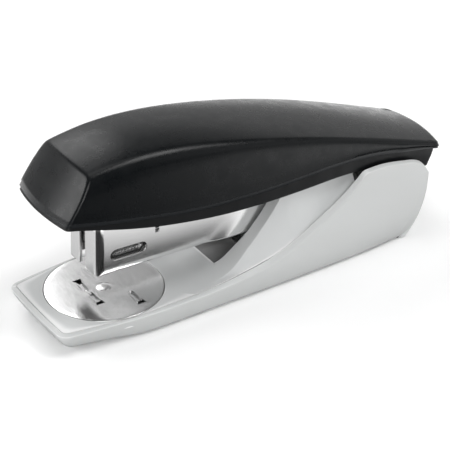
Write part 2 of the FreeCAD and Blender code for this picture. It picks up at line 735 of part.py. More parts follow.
def make_follower_spring():
    """The coil on the rod, from the follower's shoe to the rear bracket."""
    end_gap = 0.6
    radius_gap = 0.4
    pitch = 2.0
    front = -size("magazine_front") + size("sheet") + 2 * size("driver_fit") + size("driver_thickness")
    front += size("strip_length") + size("slide_fit") + size("follower_length") - SHOE_INSET + end_gap
    rear = -size("rail_rear") - BRACKET_INSET - end_gap
    radius = size("rod_radius") + size("slide_fit") + radius_gap + size("coil_wire") / 2
    spring = coil(radius, size("coil_wire"), pitch, rear - front)
    spring.Placement = Placement(Vector(front, 0, floor_top + ROD_RISE), Rotation(Vector(0, 1, 0), 90))
    return spring


def make_handle_spring():
    """A torsion spring round the hinge pin, with one arm on the channel and one under the lever."""
    wire = 0.7
    rest_gap = 0.15
    radius = size("pin_radius") + 1.0
    turns = 4
    pitch = 0.95
    half_span = turns * pitch / 2
    spring = coil(radius, wire, pitch, turns * pitch)
    spring.rotate(Vector(), Vector(1, 0, 0), 90)
    spring.translate(Vector(0, half_span, 0))
    start = Vector(0, -half_span, -radius)
    edge = Vector(CHANNEL_PAST_RAIL - size("rail_rear"), -half_span, floor_top + wire / 2 + rest_gap)
    low_arm = Part.makeCylinder(wire / 2, 8.5, start, edge - start)
    high_arm = Part.makeCylinder(wire / 2, 16, Vector(0, half_span, radius), Vector(-1, 0, 0.45))
    return low_arm, high_arm, spring


keep("magazine_cover", in_pin_frame(make_magazine_cover()))
keep("staple_channel", in_pin_frame(make_staple_channel()))
keep("staple_rail", in_pin_frame(make_rail()))
keep("staple_strip", in_pin_frame(staple_form("staple_strip_solid", STRIP_FRONT,
                                              f"({STRIP_FRONT} + strip_length)")))
keep("follower", in_pin_frame(make_follower()))
keep("spring_rod", in_pin_frame(make_spring_rod()))
keep("rod_brackets", in_pin_frame(make_brackets()))
keep("follower_spring", in_pin_frame(group("follower_spring_solid",
                                           moulding("follower_coil", make_follower_spring()))))


def make_magazine_rivets():
    rivets = []
    near = f"({CHANNEL_HALF} - thin_sheet)"
    head = f"({COVER_HALF} + 0.2)"
    for number, x in enumerate(RIVET_SPOTS):
        for side, low, high in (("right", f"-{head}", f"-{near}"), ("left", near, head)):
            rivets.append(rod(f"magazine_rivet_{side}_{number}", "Y", "rivet_radius", low, high,
                              (x, 0, RIVET_HEIGHT)))
    return group("magazine_rivets_solid", *rivets)


keep("magazine_rivets", in_pin_frame(make_magazine_rivets()))
keep("handle_spring", in_pin_frame(moulding("handle_spring_solid", Part.makeCompound(make_handle_spring()))))


# ---------------------------------------------------------------- lever and driver, in the pin frame
LEVER_FRONT = "(-magazine_front + sheet + driver_fit + 3)"
LEVER_FLAT = f"({LEVER_FRONT} + 10)"
LEVER_FALL = f"((lever_front_height - lever_rear_height)/(-{LEVER_FLAT} - lever_ear_radius))"
BLADE_HALF = "(staple_width/2 - driver_side)"


def web_under(x):
    """The height of the lever's web, on its under side, behind its flat front."""
    return f"(lever_rear_height - ({x} + lever_ear_radius)*{LEVER_FALL})"


def make_driver():
    """A blade bent to the arc that it swings on, with a flange under the lever."""
    width = (f"-{BLADE_HALF}", BLADE_HALF)
    outer = rod("driver_outer", "Y", DRIVER_FRONT, *width)
    inner = rod("driver_inner", "Y", f"{DRIVER_FRONT} - driver_thickness", f"-{BLADE_HALF} - 1",
                f"{BLADE_HALF} + 1")
    blade = doc.addObject("Part::Common", "driver_arc")
    blade.Base = cut("driver_band", outer, inner)
    blade.Tool = block("driver_reach", (f"-{DRIVER_FRONT} - 1", "-magazine_front/2"), width,
                       (f"{STAPLE_TOP} + driver_lift", "lever_front_height"))
    flange = block("driver_flange", (f"{LEVER_FRONT} - 0.9", f"{LEVER_FLAT} - 1"), width,
                   ("lever_front_height - driver_thickness", "lever_front_height"))
    return cut("driver_blade_solid", fuse("driver_blank", blade, flange), *driver_rivet_bars("driver_hole"))


def driver_rivet_bars(name):
    return [rod(f"{name}_{number}", "Z", "rivet_radius", "lever_front_height - driver_thickness - 0.4",
                "lever_front_height + lever_sheet + 0.4", (f"({LEVER_FRONT} + 4)", y, 0))
            for number, y in enumerate((-3.5, 3.5))]


def make_lever():
    """A channel over the magazine that carries the driver and turns on the hinge pin."""
    owner = body("handle_lever_body")
    ear = "(lever_ear_radius)"
    back = f"({ear} + lever_skirt*2)"
    side = [(LEVER_FRONT, "lever_front_height + lever_sheet"),
            (LEVER_FLAT, "lever_front_height + lever_sheet"), (f"-{ear}", "lever_rear_height + lever_sheet"),
            (ear, ear), (ear, f"-{ear}"), (f"-{ear}", f"-{ear}"),
            (f"-{back}", "lever_rear_height - lever_skirt"),
            (LEVER_FLAT, "lever_front_height - lever_skirt"), (LEVER_FRONT, "lever_front_height - lever_skirt")]
    pad(owner, "lever_blank", outline(owner, "lever_side", "XZ_Plane", side), f"2*{LEVER_HALF}")
    inside = [(f"{LEVER_FRONT} - 5", "lever_front_height"), (LEVER_FLAT, "lever_front_height"),
              (f"-{ear}", "lever_rear_height"), (f"-{ear}", "lever_rear_height + 2*lever_sheet"),
              (f"{ear} + 1", "lever_rear_height + 2*lever_sheet"), (f"{ear} + 1", f"-{ear} - 1"),
              (f"{LEVER_FRONT} - 5", f"-{ear} - 1")]
    pocket(owner, "lever_hollow", outline(owner, "lever_inside", "XZ_Plane", inside),
           f"2*({LEVER_HALF} - lever_sheet)")
    return cut("handle_lever_solid", owner, pin_bore("lever_bore"), *driver_rivet_bars("lever_hole"),
               *handle_screw_shanks("lever_screw_hole"))


HANDLE_SCREWS = ("(-75)", "(-38)")
BOSS_REACH = 7.0                 # from the web's top up into a boss
SHANK_FOOT = 0.5


def handle_screw_shanks(name):
    """Bars from just under the lever's web up into the cap's bosses."""
    bars = []
    for number, x in enumerate(HANDLE_SCREWS):
        low = f"{web_under(x)} - {SHANK_FOOT}"
        high = f"{web_under(x)} + lever_sheet + {BOSS_REACH}"
        bars.append(rod(f"{name}_{number}", "Z", "rivet_radius", low, high, (x, 0, 0)))
    return bars


def make_handle_screws():
    screws = []
    for number, (x, shank) in enumerate(zip(HANDLE_SCREWS, handle_screw_shanks("handle_shank"))):
        head = rod(f"handle_head_{number}", "Z", "screw_head", f"{web_under(x)} - 1.6", f"{web_under(x)} - 0.4",
                   (x, 0, 0))
        screws.append(fuse(f"handle_screw_{number}", shank, head))
    return group("handle_screws_solid", *screws)


keep("driver_blade", in_pin_frame(make_driver()))
keep("handle_lever", in_pin_frame(make_lever()))
keep("driver_rivets", in_pin_frame(group("driver_rivets_solid", *driver_rivet_bars("driver_rivet"))))
keep("handle_screws", in_pin_frame(make_handle_screws()))


# ---------------------------------------------------------------- handle cap and skirt
# Sections of the handle along its length: the share of the length from the nose, then shares of
# half the overall width at the lower edge, the shoulder and the top, then shares of the overall
# height at the shoulder's lower line, its upper line and the crown.
HANDLE_SECTIONS = (
    (-0.06, 0.722, 0.630, 0.560, 0.822, 0.872, 0.885),
    (0.08, 0.812, 0.700, 0.628, 0.896, 0.951, 0.968),
    (0.188, 0.872, 0.762, 0.665, 0.921, 0.978, 0.999),
    (0.295, 0.906, 0.792, 0.695, 0.910, 0.963, 0.988),
    (0.402, 0.914, 0.806, 0.722, 0.884, 0.920, 0.950),
    (0.537, 0.900, 0.802, 0.738, 0.822, 0.845, 0.874),
    (0.672, 0.860, 0.772, 0.728, 0.740, 0.753, 0.780),
    (0.808, 0.794, 0.728, 0.693, 0.632, 0.643, 0.668),
    (0.907, 0.742, 0.683, 0.654, 0.548, 0.557, 0.578),
    (1.05, 0.660, 0.614, 0.594, 0.420, 0.428, 0.444),
)
# The cap's lower edge and the skirt's below it, as shares of the length and of the height.
CAP_EDGE = ((0.0, 0.735), (0.09, 0.697), (0.192, 0.657), (0.295, 0.622), (0.395, 0.603), (0.52, 0.593),
            (0.7, 0.585), (0.787, 0.563), (0.875, 0.52), (0.95, 0.476), (1.0, 0.438))
SKIRT_EDGE = ((0.0, 0.715), (0.09, 0.666), (0.192, 0.608), (0.295, 0.567), (0.37, 0.546), (0.47, 0.531),
              (0.63, 0.524), (0.735, 0.511), (0.82, 0.46), (0.9, 0.4), (0.957, 0.368))
KNEE = 0.52                      # where the sides start to lean in, as a share of the height
NOSE_RAKE = (9.4, 13.2)
NOSE_BOW = 57.0
TAIL_BOW = 50.5

handle_length = tip_x - nose_x
height = size("overall_height")
nose_lip = (nose_x, 0, 0.72 * height)


def handle_points(shares):
    return [(nose_x + share * handle_length, 0, up * height) for share, up in shares]


def handle_section(row, inset):
    """The handle seen from the front at one station, drawn in by inset."""
    share, low, shoulder, top, shoulder_z, top_z, crown_z = row
    x = nose_x + share * handle_length
    foot = -1.0
    knee = min(KNEE, shoulder_z - 0.06) * height
    right = [(low, foot), (low, knee), (shoulder, shoulder_z * height), (top, top_z * height)]
    right = [(y * half_width - inset, z - (inset if z > knee else 0)) for y, z in right]
    side = [Vector(x, -y, z) for y, z in right]
    other = [Vector(x, y, z) for y, z in right[::-1]]
    points = side + other
    edges = [Part.LineSegment(points[i], points[i + 1]).toShape() for i in range(3)]
    edges.append(Part.Arc(points[3], Vector(x, 0, crown_z * height - inset), points[4]).toShape())
    edges += [Part.LineSegment(points[i], points[i + 1]).toShape() for i in range(4, 7)]
    edges.append(Part.LineSegment(points[7], points[0]).toShape())
    return Part.Wire(edges)


def handle_form(inset):
    """The handle's outer form, drawn in by inset, with its bowed nose and tail."""
    loft = Part.makeLoft([handle_section(row, inset) for row in HANDLE_SECTIONS], True, False)
    rake = Vector(NOSE_RAKE[0], 0, NOSE_RAKE[1]).normalize()
    inward = Vector(rake.z, 0, -rake.x)
    middle = Vector(*nose_lip) + inward * NOSE_BOW - rake * far
    nose = Part.makeCylinder(NOSE_BOW - inset, 2 * far, middle, rake)
    tail = Part.makeCylinder(TAIL_BOW - inset, far, Vector(tip_x - TAIL_BOW, 0, -far / 4))
    middle_x = nose_x + handle_length / 2
    front_part = loft.common(slab((nose_x - far, middle_x), (-far, far), (-far, far))).common(nose)
    rear_part = loft.common(slab((middle_x, far), (-far, far), (-far, far))).common(tail)
    return front_part.fuse(rear_part).removeSplitter()


def above(edge, lift=0.0):
    """Everything above an edge in the side view."""
    points = [(x, y, z + lift) for x, y, z in handle_points(edge)]
    start = (points[0][0] - 20, 0, points[0][2])
    end = (points[-1][0] + 20, 0, points[-1][2])
    head = (end[0], 0, far)
    corner = (start[0], 0, far)
    return across(face_of(line(start, points[0]), spline(points), line(points[-1], end), line(end, head),
                          line(head, corner), line(corner, start)))


boss_radius = 3.0
boss_gap = 0.5                   # over the sloping web, at the middle of a boss
skirt_inset = size("rabbet") + size("part_gap")


def make_cap():
    wall = size("cap_wall")
    outer = handle_form(0).common(above(CAP_EDGE))
    cap = outer.cut(handle_form(wall))
    step = handle_form(size("rabbet")).cut(above(CAP_EDGE, size("skirt_overlap") + size("part_gap")))
    cap = cap.cut(step)
    turn = Placement(Vector(pin_x, 0, pin_z), Rotation(Vector(0, 1, 0), size("magazine_tilt")))
    for number in range(len(HANDLE_SCREWS)):
        shank = doc.getObject(f"handle_shank_{number}").Placement.Base
        start = shank.z + SHANK_FOOT + size("lever_sheet") + boss_gap
        boss = Part.makeCylinder(boss_radius, far, Vector(shank.x, 0, start))
        hole = Part.makeCylinder(size("rivet_radius"), BOSS_REACH + 1, Vector(shank.x, 0, start - 1))
        boss.Placement = turn
        hole.Placement = turn
        cap = cap.fuse(boss.common(handle_form(0))).cut(hole)
    return cap.removeSplitter()


def make_skirt():
    """The inner frame of the handle, which stands out below the cap's edge."""
    outer = handle_form(skirt_inset)
    inner = handle_form(skirt_inset + size("skirt_wall"))
    band = outer.cut(inner).common(above(SKIRT_EDGE))
    band = band.cut(above(CAP_EDGE, size("skirt_overlap")))
    return band.cut(slab((tip_x - 3.0, far), (-far, far), (-far, far)))


doc.recompute()
keep("handle_cap", moulding("handle_cap_solid", make_cap()))
keep("handle_skirt", moulding("handle_skirt_solid", make_skirt()))


# ---------------------------------------------------------------- checks and files
doc.recompute()
failed = [thing.Name for thing in doc.Objects if {"Invalid", "Error"} & set(thing.State)]
if failed:
    raise RuntimeError(f"objects that failed: {failed}")
for node, piece in nodes.items():
    if piece.Shape.isNull() or not piece.Shape.isValid():
        raise RuntimeError(f"{node} has no valid shape")
for node, piece in nodes.items():
    piece.Shape.exportStep(f"parts/{node}.step")
print(len(nodes), "sub-parts written")
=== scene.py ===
import json
import math

import bmesh
import bpy
import numpy as np
from mathutils import Matrix, Vector


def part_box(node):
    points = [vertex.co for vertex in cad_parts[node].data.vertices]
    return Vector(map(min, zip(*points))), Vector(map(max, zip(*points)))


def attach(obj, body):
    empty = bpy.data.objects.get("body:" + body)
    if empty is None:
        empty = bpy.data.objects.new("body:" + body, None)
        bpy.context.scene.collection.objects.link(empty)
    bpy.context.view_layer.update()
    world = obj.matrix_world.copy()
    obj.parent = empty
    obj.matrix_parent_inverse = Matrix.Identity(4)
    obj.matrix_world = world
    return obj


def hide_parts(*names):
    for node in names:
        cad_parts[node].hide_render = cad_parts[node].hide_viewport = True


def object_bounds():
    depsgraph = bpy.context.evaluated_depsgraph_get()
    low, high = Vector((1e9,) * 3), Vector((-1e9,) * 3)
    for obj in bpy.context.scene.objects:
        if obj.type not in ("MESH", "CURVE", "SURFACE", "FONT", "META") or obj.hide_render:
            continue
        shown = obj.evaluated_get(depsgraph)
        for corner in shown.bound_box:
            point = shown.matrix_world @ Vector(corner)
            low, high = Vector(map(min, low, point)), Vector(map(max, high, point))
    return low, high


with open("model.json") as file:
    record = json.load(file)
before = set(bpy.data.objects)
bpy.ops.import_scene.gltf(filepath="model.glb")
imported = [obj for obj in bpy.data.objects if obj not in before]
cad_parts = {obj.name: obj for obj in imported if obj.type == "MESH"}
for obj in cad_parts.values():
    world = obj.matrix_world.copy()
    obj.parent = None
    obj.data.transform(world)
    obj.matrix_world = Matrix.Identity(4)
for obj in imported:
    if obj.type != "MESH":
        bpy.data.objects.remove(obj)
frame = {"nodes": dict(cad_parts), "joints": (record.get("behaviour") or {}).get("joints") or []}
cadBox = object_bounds()

# Shapes are worked out in millimetres, in the frame's axes, and become metres in makeMesh.
mm = 0.001
joints = {joint["name"]: joint for joint in frame["joints"]}
frontX, tipX = cadBox[0].x / mm, cadBox[1].x / mm
halfWidth, fullHeight = cadBox[1].y / mm, cadBox[1].z / mm
pinX, pinZ = joints["magazine_hinge"]["pos_m"][0] / mm, joints["magazine_hinge"]["pos_m"][2] / mm
anvilX, rimZ = joints["anvil_turn"]["pos_m"][0] / mm, joints["anvil_turn"]["pos_m"][2] / mm


def boxOf(node):
    low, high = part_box(node)
    return low / mm, high / mm


def flow(pairs):
    # a smooth line through (place, value) pairs, with continuous curvature
    x, y = np.array(pairs, float).T
    count, h = len(x), np.diff(x)
    rows, target = np.eye(count), np.zeros(count)
    for i in range(1, count - 1):
        rows[i, i - 1], rows[i, i], rows[i, i + 1] = h[i - 1], 2 * (h[i - 1] + h[i]), h[i]
        target[i] = 6 * ((y[i + 1] - y[i]) / h[i] - (y[i] - y[i - 1]) / h[i - 1])
    bend = np.linalg.solve(rows, target)

    def value(place):
        place = np.clip(place, x[0], x[-1])
        i = np.clip(np.searchsorted(x, place) - 1, 0, count - 2)
        a, b, step = x[i + 1] - place, place - x[i], h[i]
        curved = (bend[i] * a ** 3 + bend[i + 1] * b ** 3) / (6 * step)
        return curved + (y[i] / step - bend[i] * step / 6) * a + (y[i + 1] / step - bend[i + 1] * step / 6) * b

    return value


def straight(pairs):
    # straight runs through (place, value) pairs
    x, y = np.array(pairs, float).T
    return lambda place: np.interp(place, x, y)


def ease(t):
    t = np.clip(t, 0, 1)
    return t * t * (3 - 2 * t)


def between(a, b, count):
    # count points evenly spaced from a to b
    a, b = np.array(a, float), np.array(b, float)
    return [tuple(a + (b - a) * share) for share in np.linspace(0, 1, count)]


def softCorner(before, corner, after, cut, count=5):
    # the corner as a short curve that starts and ends cut away from it
    before, corner, after = (np.array(p, float) for p in (before, corner, after))
    toBefore, toAfter = before - corner, after - corner
    start = corner + toBefore / np.linalg.norm(toBefore) * cut
    end = corner + toAfter / np.linalg.norm(toAfter) * cut
    return [tuple((1 - s) ** 2 * start + 2 * s * (1 - s) * corner + s * s * end) for s in np.linspace(0, 1, count)]


def addGrid(bm, rows, closeRows=False, closeColumns=False):
    # quads between neighbouring rows of points
    made = [[bm.verts.new([c * mm for c in p]) for p in row] for row in rows]
    if closeRows:
        made.append(made[0])
    for low, high in zip(made, made[1:]):
        pairs = list(zip(low, high))
        if closeColumns:
            pairs.append(pairs[0])
        for (a, b), (c, d) in zip(pairs, pairs[1:]):
            bm.faces.new((a, b, d, c))
    return made


def mirrored(row):
    # a right half row of points, from the edge to the middle, made whole
    other = [(x, -y, z) for x, y, z in row[::-1]]
    return row + (other[1:] if abs(row[-1][1]) < 1e-6 else other)


def makeMesh(name, bm, merge=0.004):
    bmesh.ops.remove_doubles(bm, verts=bm.verts, dist=merge * mm)
    bmesh.ops.dissolve_degenerate(bm, edges=bm.edges, dist=merge * mm / 4)
    bmesh.ops.recalc_face_normals(bm, faces=bm.faces)
    mesh = bpy.data.meshes.new(name)
    bm.to_mesh(mesh)
    bm.free()
    piece = bpy.data.objects.new(name, mesh)
    bpy.context.scene.collection.objects.link(piece)
    return piece


def modify(piece, kind, **settings):
    modifier = piece.modifiers.new(kind.title(), kind)
    for key, value in settings.items():
        setattr(modifier, key, value)
    return modifier


def bevelled(piece, width, fromAngle=62):
    # small rounds on the edges that are sharper than an angle
    limit = math.radians(fromAngle)
    modify(piece, "BEVEL", width=width * mm, segments=2, limit_method="ANGLE", angle_limit=limit)


def applyAll(piece, sharp=38):
    # the piece's mesh after its modifiers, with its hard edges marked
    depsgraph = bpy.context.evaluated_depsgraph_get()
    mesh = bpy.data.meshes.new_from_object(piece.evaluated_get(depsgraph))
    mesh.name = piece.name
    old = piece.data
    piece.modifiers.clear()
    piece.data = mesh
    bpy.data.meshes.remove(old)
    for polygon in mesh.polygons:
        polygon.use_smooth = True
    mesh.set_sharp_from_angle(angle=math.radians(sharp))
    return piece


def cutAway(piece, tools):
    # boolean differences, one tool at a time
    for tool in tools:
        modify(piece, "BOOLEAN", object=tool, operation="DIFFERENCE", solver="EXACT")
        applyAll(piece)
        bpy.data.objects.remove(tool)
    return piece


def prism(name, outline, low, high, axis="Z", taper=0.0):
    # a closed outline carried along Z or Y; taper draws its high end in
    bm = bmesh.new()
    centre = np.mean(outline, axis=0)
    rings = []
    for level, scale in ((low, 1.0), (high, 1.0 - taper)):
        flat = [centre + (np.array(point) - centre) * scale for point in outline]
        rings.append([(u, v, level) if axis == "Z" else (u, level, v) for u, v in flat])
    made = addGrid(bm, rings, closeColumns=True)
    bm.faces.new(made[0])
    bm.faces.new(made[1])
    return makeMesh(name, bm)


def circle(x, y, radius, count=48):
    turns = [2 * math.pi * i / count for i in range(count)]
    return [(x + radius * math.cos(t), y + radius * math.sin(t)) for t in turns]


def lathe(name, profile, x, y, count=96):
    # a profile of (radius, height) turned about an upright axis
    bm = bmesh.new()
    rows = []
    for i in range(count):
        turn = 2 * math.pi * i / count
        rows.append([(x + r * math.cos(turn), y + r * math.sin(turn), z) for r, z in profile])
    addGrid(bm, rows, closeRows=True)
    return makeMesh(name, bm)


def place(piece, body, slot, material, node):
    # the piece rides on its body in the CAD node's stead
    piece.data.materials.clear()
    piece.data.materials.append(material)
    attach(piece, body)
    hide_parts(node)
    return piece


class Link:
    # a socket of a node tree; arithmetic on it adds Math nodes
    def __init__(self, tree, socket):
        self.tree, self.socket = tree, socket

    def node(self, kind, settings=None, inputs=None, output=0):
        # any node: its settings first, then the values or links of its sockets
        made = self.tree.nodes.new(kind)
        for key, value in (settings or {}).items():
            if key == "stops":
                while len(made.color_ramp.elements) < len(value):
                    made.color_ramp.elements.new(0.5)
                for element, (position, shade) in zip(made.color_ramp.elements, value):
                    element.position, element.color = position, grey(shade)
            else:
                setattr(made, key, value)
        for key, value in (inputs or {}).items():
            if isinstance(value, Link):
                self.tree.links.new(value.socket, made.inputs[key])
            else:
                made.inputs[key].default_value = value
        return Link(self.tree, made.outputs[output])

    def maths(self, operation, first, second):
        return self.node("ShaderNodeMath", {"operation": operation}, {0: first, 1: second})

    def __add__(self, other):
        return self.maths("ADD", self, other)

    __radd__ = __add__

    def __sub__(self, other):
        return self.maths("SUBTRACT", self, other)

    def __rsub__(self, other):
        return self.maths("SUBTRACT", other, self)

    def __mul__(self, other):
        return self.maths("MULTIPLY", self, other)

    __rmul__ = __mul__


class Finish:
    # one material, with the few patterns that every finish is made of
    def __init__(self, name, **constants):
        self.material = bpy.data.materials.new(name)
        self.material.use_nodes = True
        tree = self.material.node_tree
        self.shader = tree.nodes["Principled BSDF"]
        for key, value in constants.items():
            self.shader.inputs[key.replace("_", " ")].default_value = value
        self.place = Link(tree, tree.nodes.new("ShaderNodeTexCoord").outputs["Object"])
        self.shape = Link(tree, tree.nodes.new("ShaderNodeNewGeometry").outputs["Pointiness"])

    def feed(self, **links):
        for key, value in links.items():
            value.tree.links.new(value.socket, self.shader.inputs[key.replace("_", " ")])

    def noise(self, scale, detail=3.0, roughness=0.5, stretch=(1, 1, 1)):
        mapped = self.place.node("ShaderNodeMapping", None, {"Vector": self.place, "Scale": stretch})
        return mapped.node("ShaderNodeTexNoise", None,
                           {"Vector": mapped, "Scale": scale, "Detail": detail, "Roughness": roughness})

    def span(self, value, low, high, fromLow=0.3, fromHigh=0.7):
        inputs = {"Value": value, "From Min": fromLow, "From Max": fromHigh, "To Min": low, "To Max": high}
        return value.node("ShaderNodeMapRange", None, inputs)

    def mix(self, factor, a, b):
        return factor.node("ShaderNodeMix", {"data_type": "RGBA"}, {0: factor, 6: a, 7: b}, 2)

    def bump(self, height, strength, distance=0.0002):
        inputs = {"Height": height, "Strength": strength, "Distance": distance}
        self.feed(Normal=height.node("ShaderNodeBump", None, inputs))


def grey(value, tint=(1, 1, 1)):
    # a grey of a linear value, leaning to a tint
    return (value * tint[0], value * tint[1], value * tint[2], 1)


def mouldedPlastic(name, colour, shade, roughness, grain, coarse, specular, wornAndHighlit):
    # moulded plastic: a fine spark-eroded grain, faint flow marks, uneven gloss, and edges painted paler, partly as
    # wear and partly as a painted highlight along them
    finish = Finish(name, Specular_IOR_Level=specular)
    flowMarks = finish.span(finish.noise(28, 2.0, 0.5, (0.4, 1, 1)), 0, 1)
    body = finish.mix(flowMarks, colour, shade)
    # convex edges (high pointiness) made paler: edge wear, and a painted highlight along the edges
    rubbedAndHighlit = finish.span(finish.shape, 0, 1, 0.515, 0.56) * finish.span(finish.noise(90, 3.0), 0.6, 1.0)
    finish.feed(Base_Color=finish.mix(rubbedAndHighlit, body, wornAndHighlit))
    gloss = finish.span(finish.noise(260, 2.0), roughness[0], roughness[1])
    finish.feed(Roughness=gloss - rubbedAndHighlit * 0.06)
    finish.bump(finish.noise(coarse, 4.0, 0.6) + finish.noise(coarse / 9, 2.0) * 0.5, grain)
    return finish.material


def drawnMetal(name, colour, shade, roughness, along, lines, strength, metallic=1.0):
    # sheet or wire with fine lines along one direction, with painted shade darkening its hollows, which are also
    # rougher
    finish = Finish(name, Metallic=metallic)
    streaks = finish.noise(lines, 5.0, 0.65, along)
    cloud = finish.span(finish.noise(45, 2.0), 0, 1)
    body = finish.mix(cloud, colour, shade)
    # painted shade: concave places (low pointiness) darkened towards near-black
    hollowShade = finish.span(finish.shape, 1, 0, 0.38, 0.48)
    finish.feed(Base_Color=finish.mix(hollowShade, body, grey(0.04)))
    finish.feed(Roughness=finish.span(streaks, roughness[0], roughness[1]) + hollowShade * 0.2)
    finish.bump(streaks, strength, 0.00005)
    return finish.material


finishes = {
    "handle": mouldedPlastic("handlePlastic", grey(0.0028, (0.75, 1.02, 1.25)), grey(0.0038, (0.78, 1.02, 1.22)),
                             (0.25, 0.33), 0.1, 2600, 0.22, grey(0.014, (0.9, 1, 1.1))),
    "skirt": mouldedPlastic("skirtPlastic", grey(0.0026, (0.8, 1, 1.2)), grey(0.0036, (0.8, 1, 1.2)),
                            (0.42, 0.52), 0.08, 2600, 0.25, grey(0.014)),
    "base": mouldedPlastic("basePlastic", grey(0.50, (0.98, 1, 0.995)), grey(0.54, (0.98, 1, 0.995)),
                           (0.34, 0.42), 0.05, 2200, 0.4, grey(0.78)),
    "deck": mouldedPlastic("deckPlastic", grey(0.52, (0.98, 1, 1.0)), grey(0.56, (0.98, 1, 1.0)),
                           (0.36, 0.44), 0.05, 2200, 0.4, grey(0.78)),
    "follower": mouldedPlastic("followerPlastic", grey(0.02), grey(0.03), (0.35, 0.5), 0.06, 1800, 0.4, grey(0.08)),
    "sole": mouldedPlastic("soleRubber", grey(0.02), grey(0.03), (0.7, 0.85), 0.35, 1500, 0.3, grey(0.06)),
    "nickel": drawnMetal("nickelSheet", grey(0.88), grey(0.82), (0.15, 0.22), (1, 1, 14), 420, 0.05),
    "anvil": drawnMetal("anvilSteel", grey(0.72), grey(0.64), (0.14, 0.22), (10, 1, 1), 300, 0.03),
    "frame": drawnMetal("frameSteel", grey(0.34), grey(0.26), (0.45, 0.6), (1, 9, 1), 300, 0.08, 0.75),
    "lever": drawnMetal("leverSteel", grey(0.42), grey(0.34), (0.28, 0.4), (1, 9, 1), 300, 0.08),
    "rail": drawnMetal("railSteel", grey(0.30), grey(0.24), (0.3, 0.42), (1, 9, 1), 300, 0.08),
    "spring": drawnMetal("springSteel", grey(0.38), grey(0.30), (0.22, 0.34), (6, 6, 1), 500, 0.06),
    "fastener": drawnMetal("fastenerSteel", grey(0.62), grey(0.54), (0.22, 0.32), (1, 1, 6), 500, 0.05),
    "wire": drawnMetal("stapleWire", grey(0.42), grey(0.36), (0.25, 0.35), (1, 1, 6), 700, 0.04),
}
print("materials made:", len(finishes))


handle = {
    # share of the length from the nose; shares of the half width at the knee, shoulder and top;
    # shares of the height at the shoulder's lower line, its upper line and the crown
    "sections": (
        (-0.06, 0.790, 0.660, 0.575, 0.822, 0.872, 0.885), (0.08, 0.855, 0.722, 0.636, 0.896, 0.951, 0.968),
        (0.188, 0.885, 0.762, 0.665, 0.921, 0.978, 0.999), (0.295, 0.906, 0.792, 0.695, 0.910, 0.963, 0.988),
        (0.402, 0.914, 0.806, 0.722, 0.884, 0.920, 0.950), (0.537, 0.900, 0.802, 0.738, 0.822, 0.845, 0.874),
        (0.672, 0.860, 0.772, 0.728, 0.740, 0.753, 0.780), (0.808, 0.794, 0.728, 0.693, 0.632, 0.643, 0.668),
        (0.907, 0.742, 0.683, 0.654, 0.548, 0.557, 0.578), (1.05, 0.660, 0.614, 0.594, 0.420, 0.428, 0.444),
    ),
    "capEdge": ((-0.02, 0.742), (0.0, 0.735), (0.09, 0.697), (0.192, 0.657), (0.295, 0.622), (0.395, 0.603),
                (0.52, 0.593), (0.7, 0.585), (0.787, 0.563), (0.875, 0.52), (0.95, 0.476), (1.02, 0.425)),
    "skirtEdge": ((-0.02, 0.722), (0.0, 0.715), (0.09, 0.666), (0.192, 0.608), (0.295, 0.567), (0.37, 0.546),
                  (0.47, 0.531), (0.63, 0.524), (0.735, 0.511), (0.82, 0.46), (0.9, 0.4), (0.957, 0.368),
                  (1.02, 0.34)),
    "knee": 0.52, "kneeDrop": 0.06, "noseSetback": 3.0, "noseZ": 0.72, "rake": 9.4 / 13.2,
    "bow": 57.0, "tailBow": 50.5, "soften": 1.9, "noseCut": 0.9, "tailCut": 1.6, "tailPlay": 0.35,
    "tailSqueeze": (0.9, 0.35), "step": 0.28, "stepHeight": 1.1, "sideBulge": 0.25,
    "wall": 1.5, "thinWall": 0.2, "thinning": (16.0, 11.0), "capRound": 0.16, "skirtRound": 0.18,
    "skirtInset": 0.85, "skirtOverlap": 2.6, "skirtWall": 1.2, "skirtEnd": 4.6, "skirtSlant": 2.6,
    "skirtCorners": (1.0, 1.5), "skirtLevels": (0, 0.06, 0.2, 0.4, 0.6, 0.8, 1),
}
noseX = frontX + handle["noseSetback"]
handleLength = tipX - noseX


def handleLine(pairs, scale):
    # a line along the handle from shares of its length and of a scale
    return flow([(noseX + share * handleLength, value * scale) for share, value in pairs])


sectionLines = []
for column in range(1, 7):
    pairs = [(row[0], row[column]) for row in handle["sections"]]
    sectionLines.append(handleLine(pairs, halfWidth if column < 4 else fullHeight))
capEdge, skirtEdge = (handleLine(handle[key], fullHeight) for key in ("capEdge", "skirtEdge"))


def noseSurface(y, z, back=0.0):
    # where the raked and bowed nose stands, moved back
    bow, rise = handle["bow"], z - handle["noseZ"] * fullHeight
    return noseX + back + rise * handle["rake"] + bow - math.sqrt(bow * bow - y * y)


def tailSurface(y, back=0.0):
    # where the bowed tail stands, moved forward
    bow = handle["tailBow"]
    return tipX - handle["tailPlay"] - back - bow + math.sqrt(bow * bow - y * y)


def handleSide(x, z):
    # half width of the handle's side, which leans in above the knee
    low, shoulder, shoulderZ = sectionLines[0](x), sectionLines[1](x), sectionLines[3](x)
    knee = min(handle["knee"], shoulderZ / fullHeight - handle["kneeDrop"]) * fullHeight
    share = np.clip((shoulderZ - z) / (shoulderZ - knee), 0, 1)
    return shoulder + (low - shoulder) * share


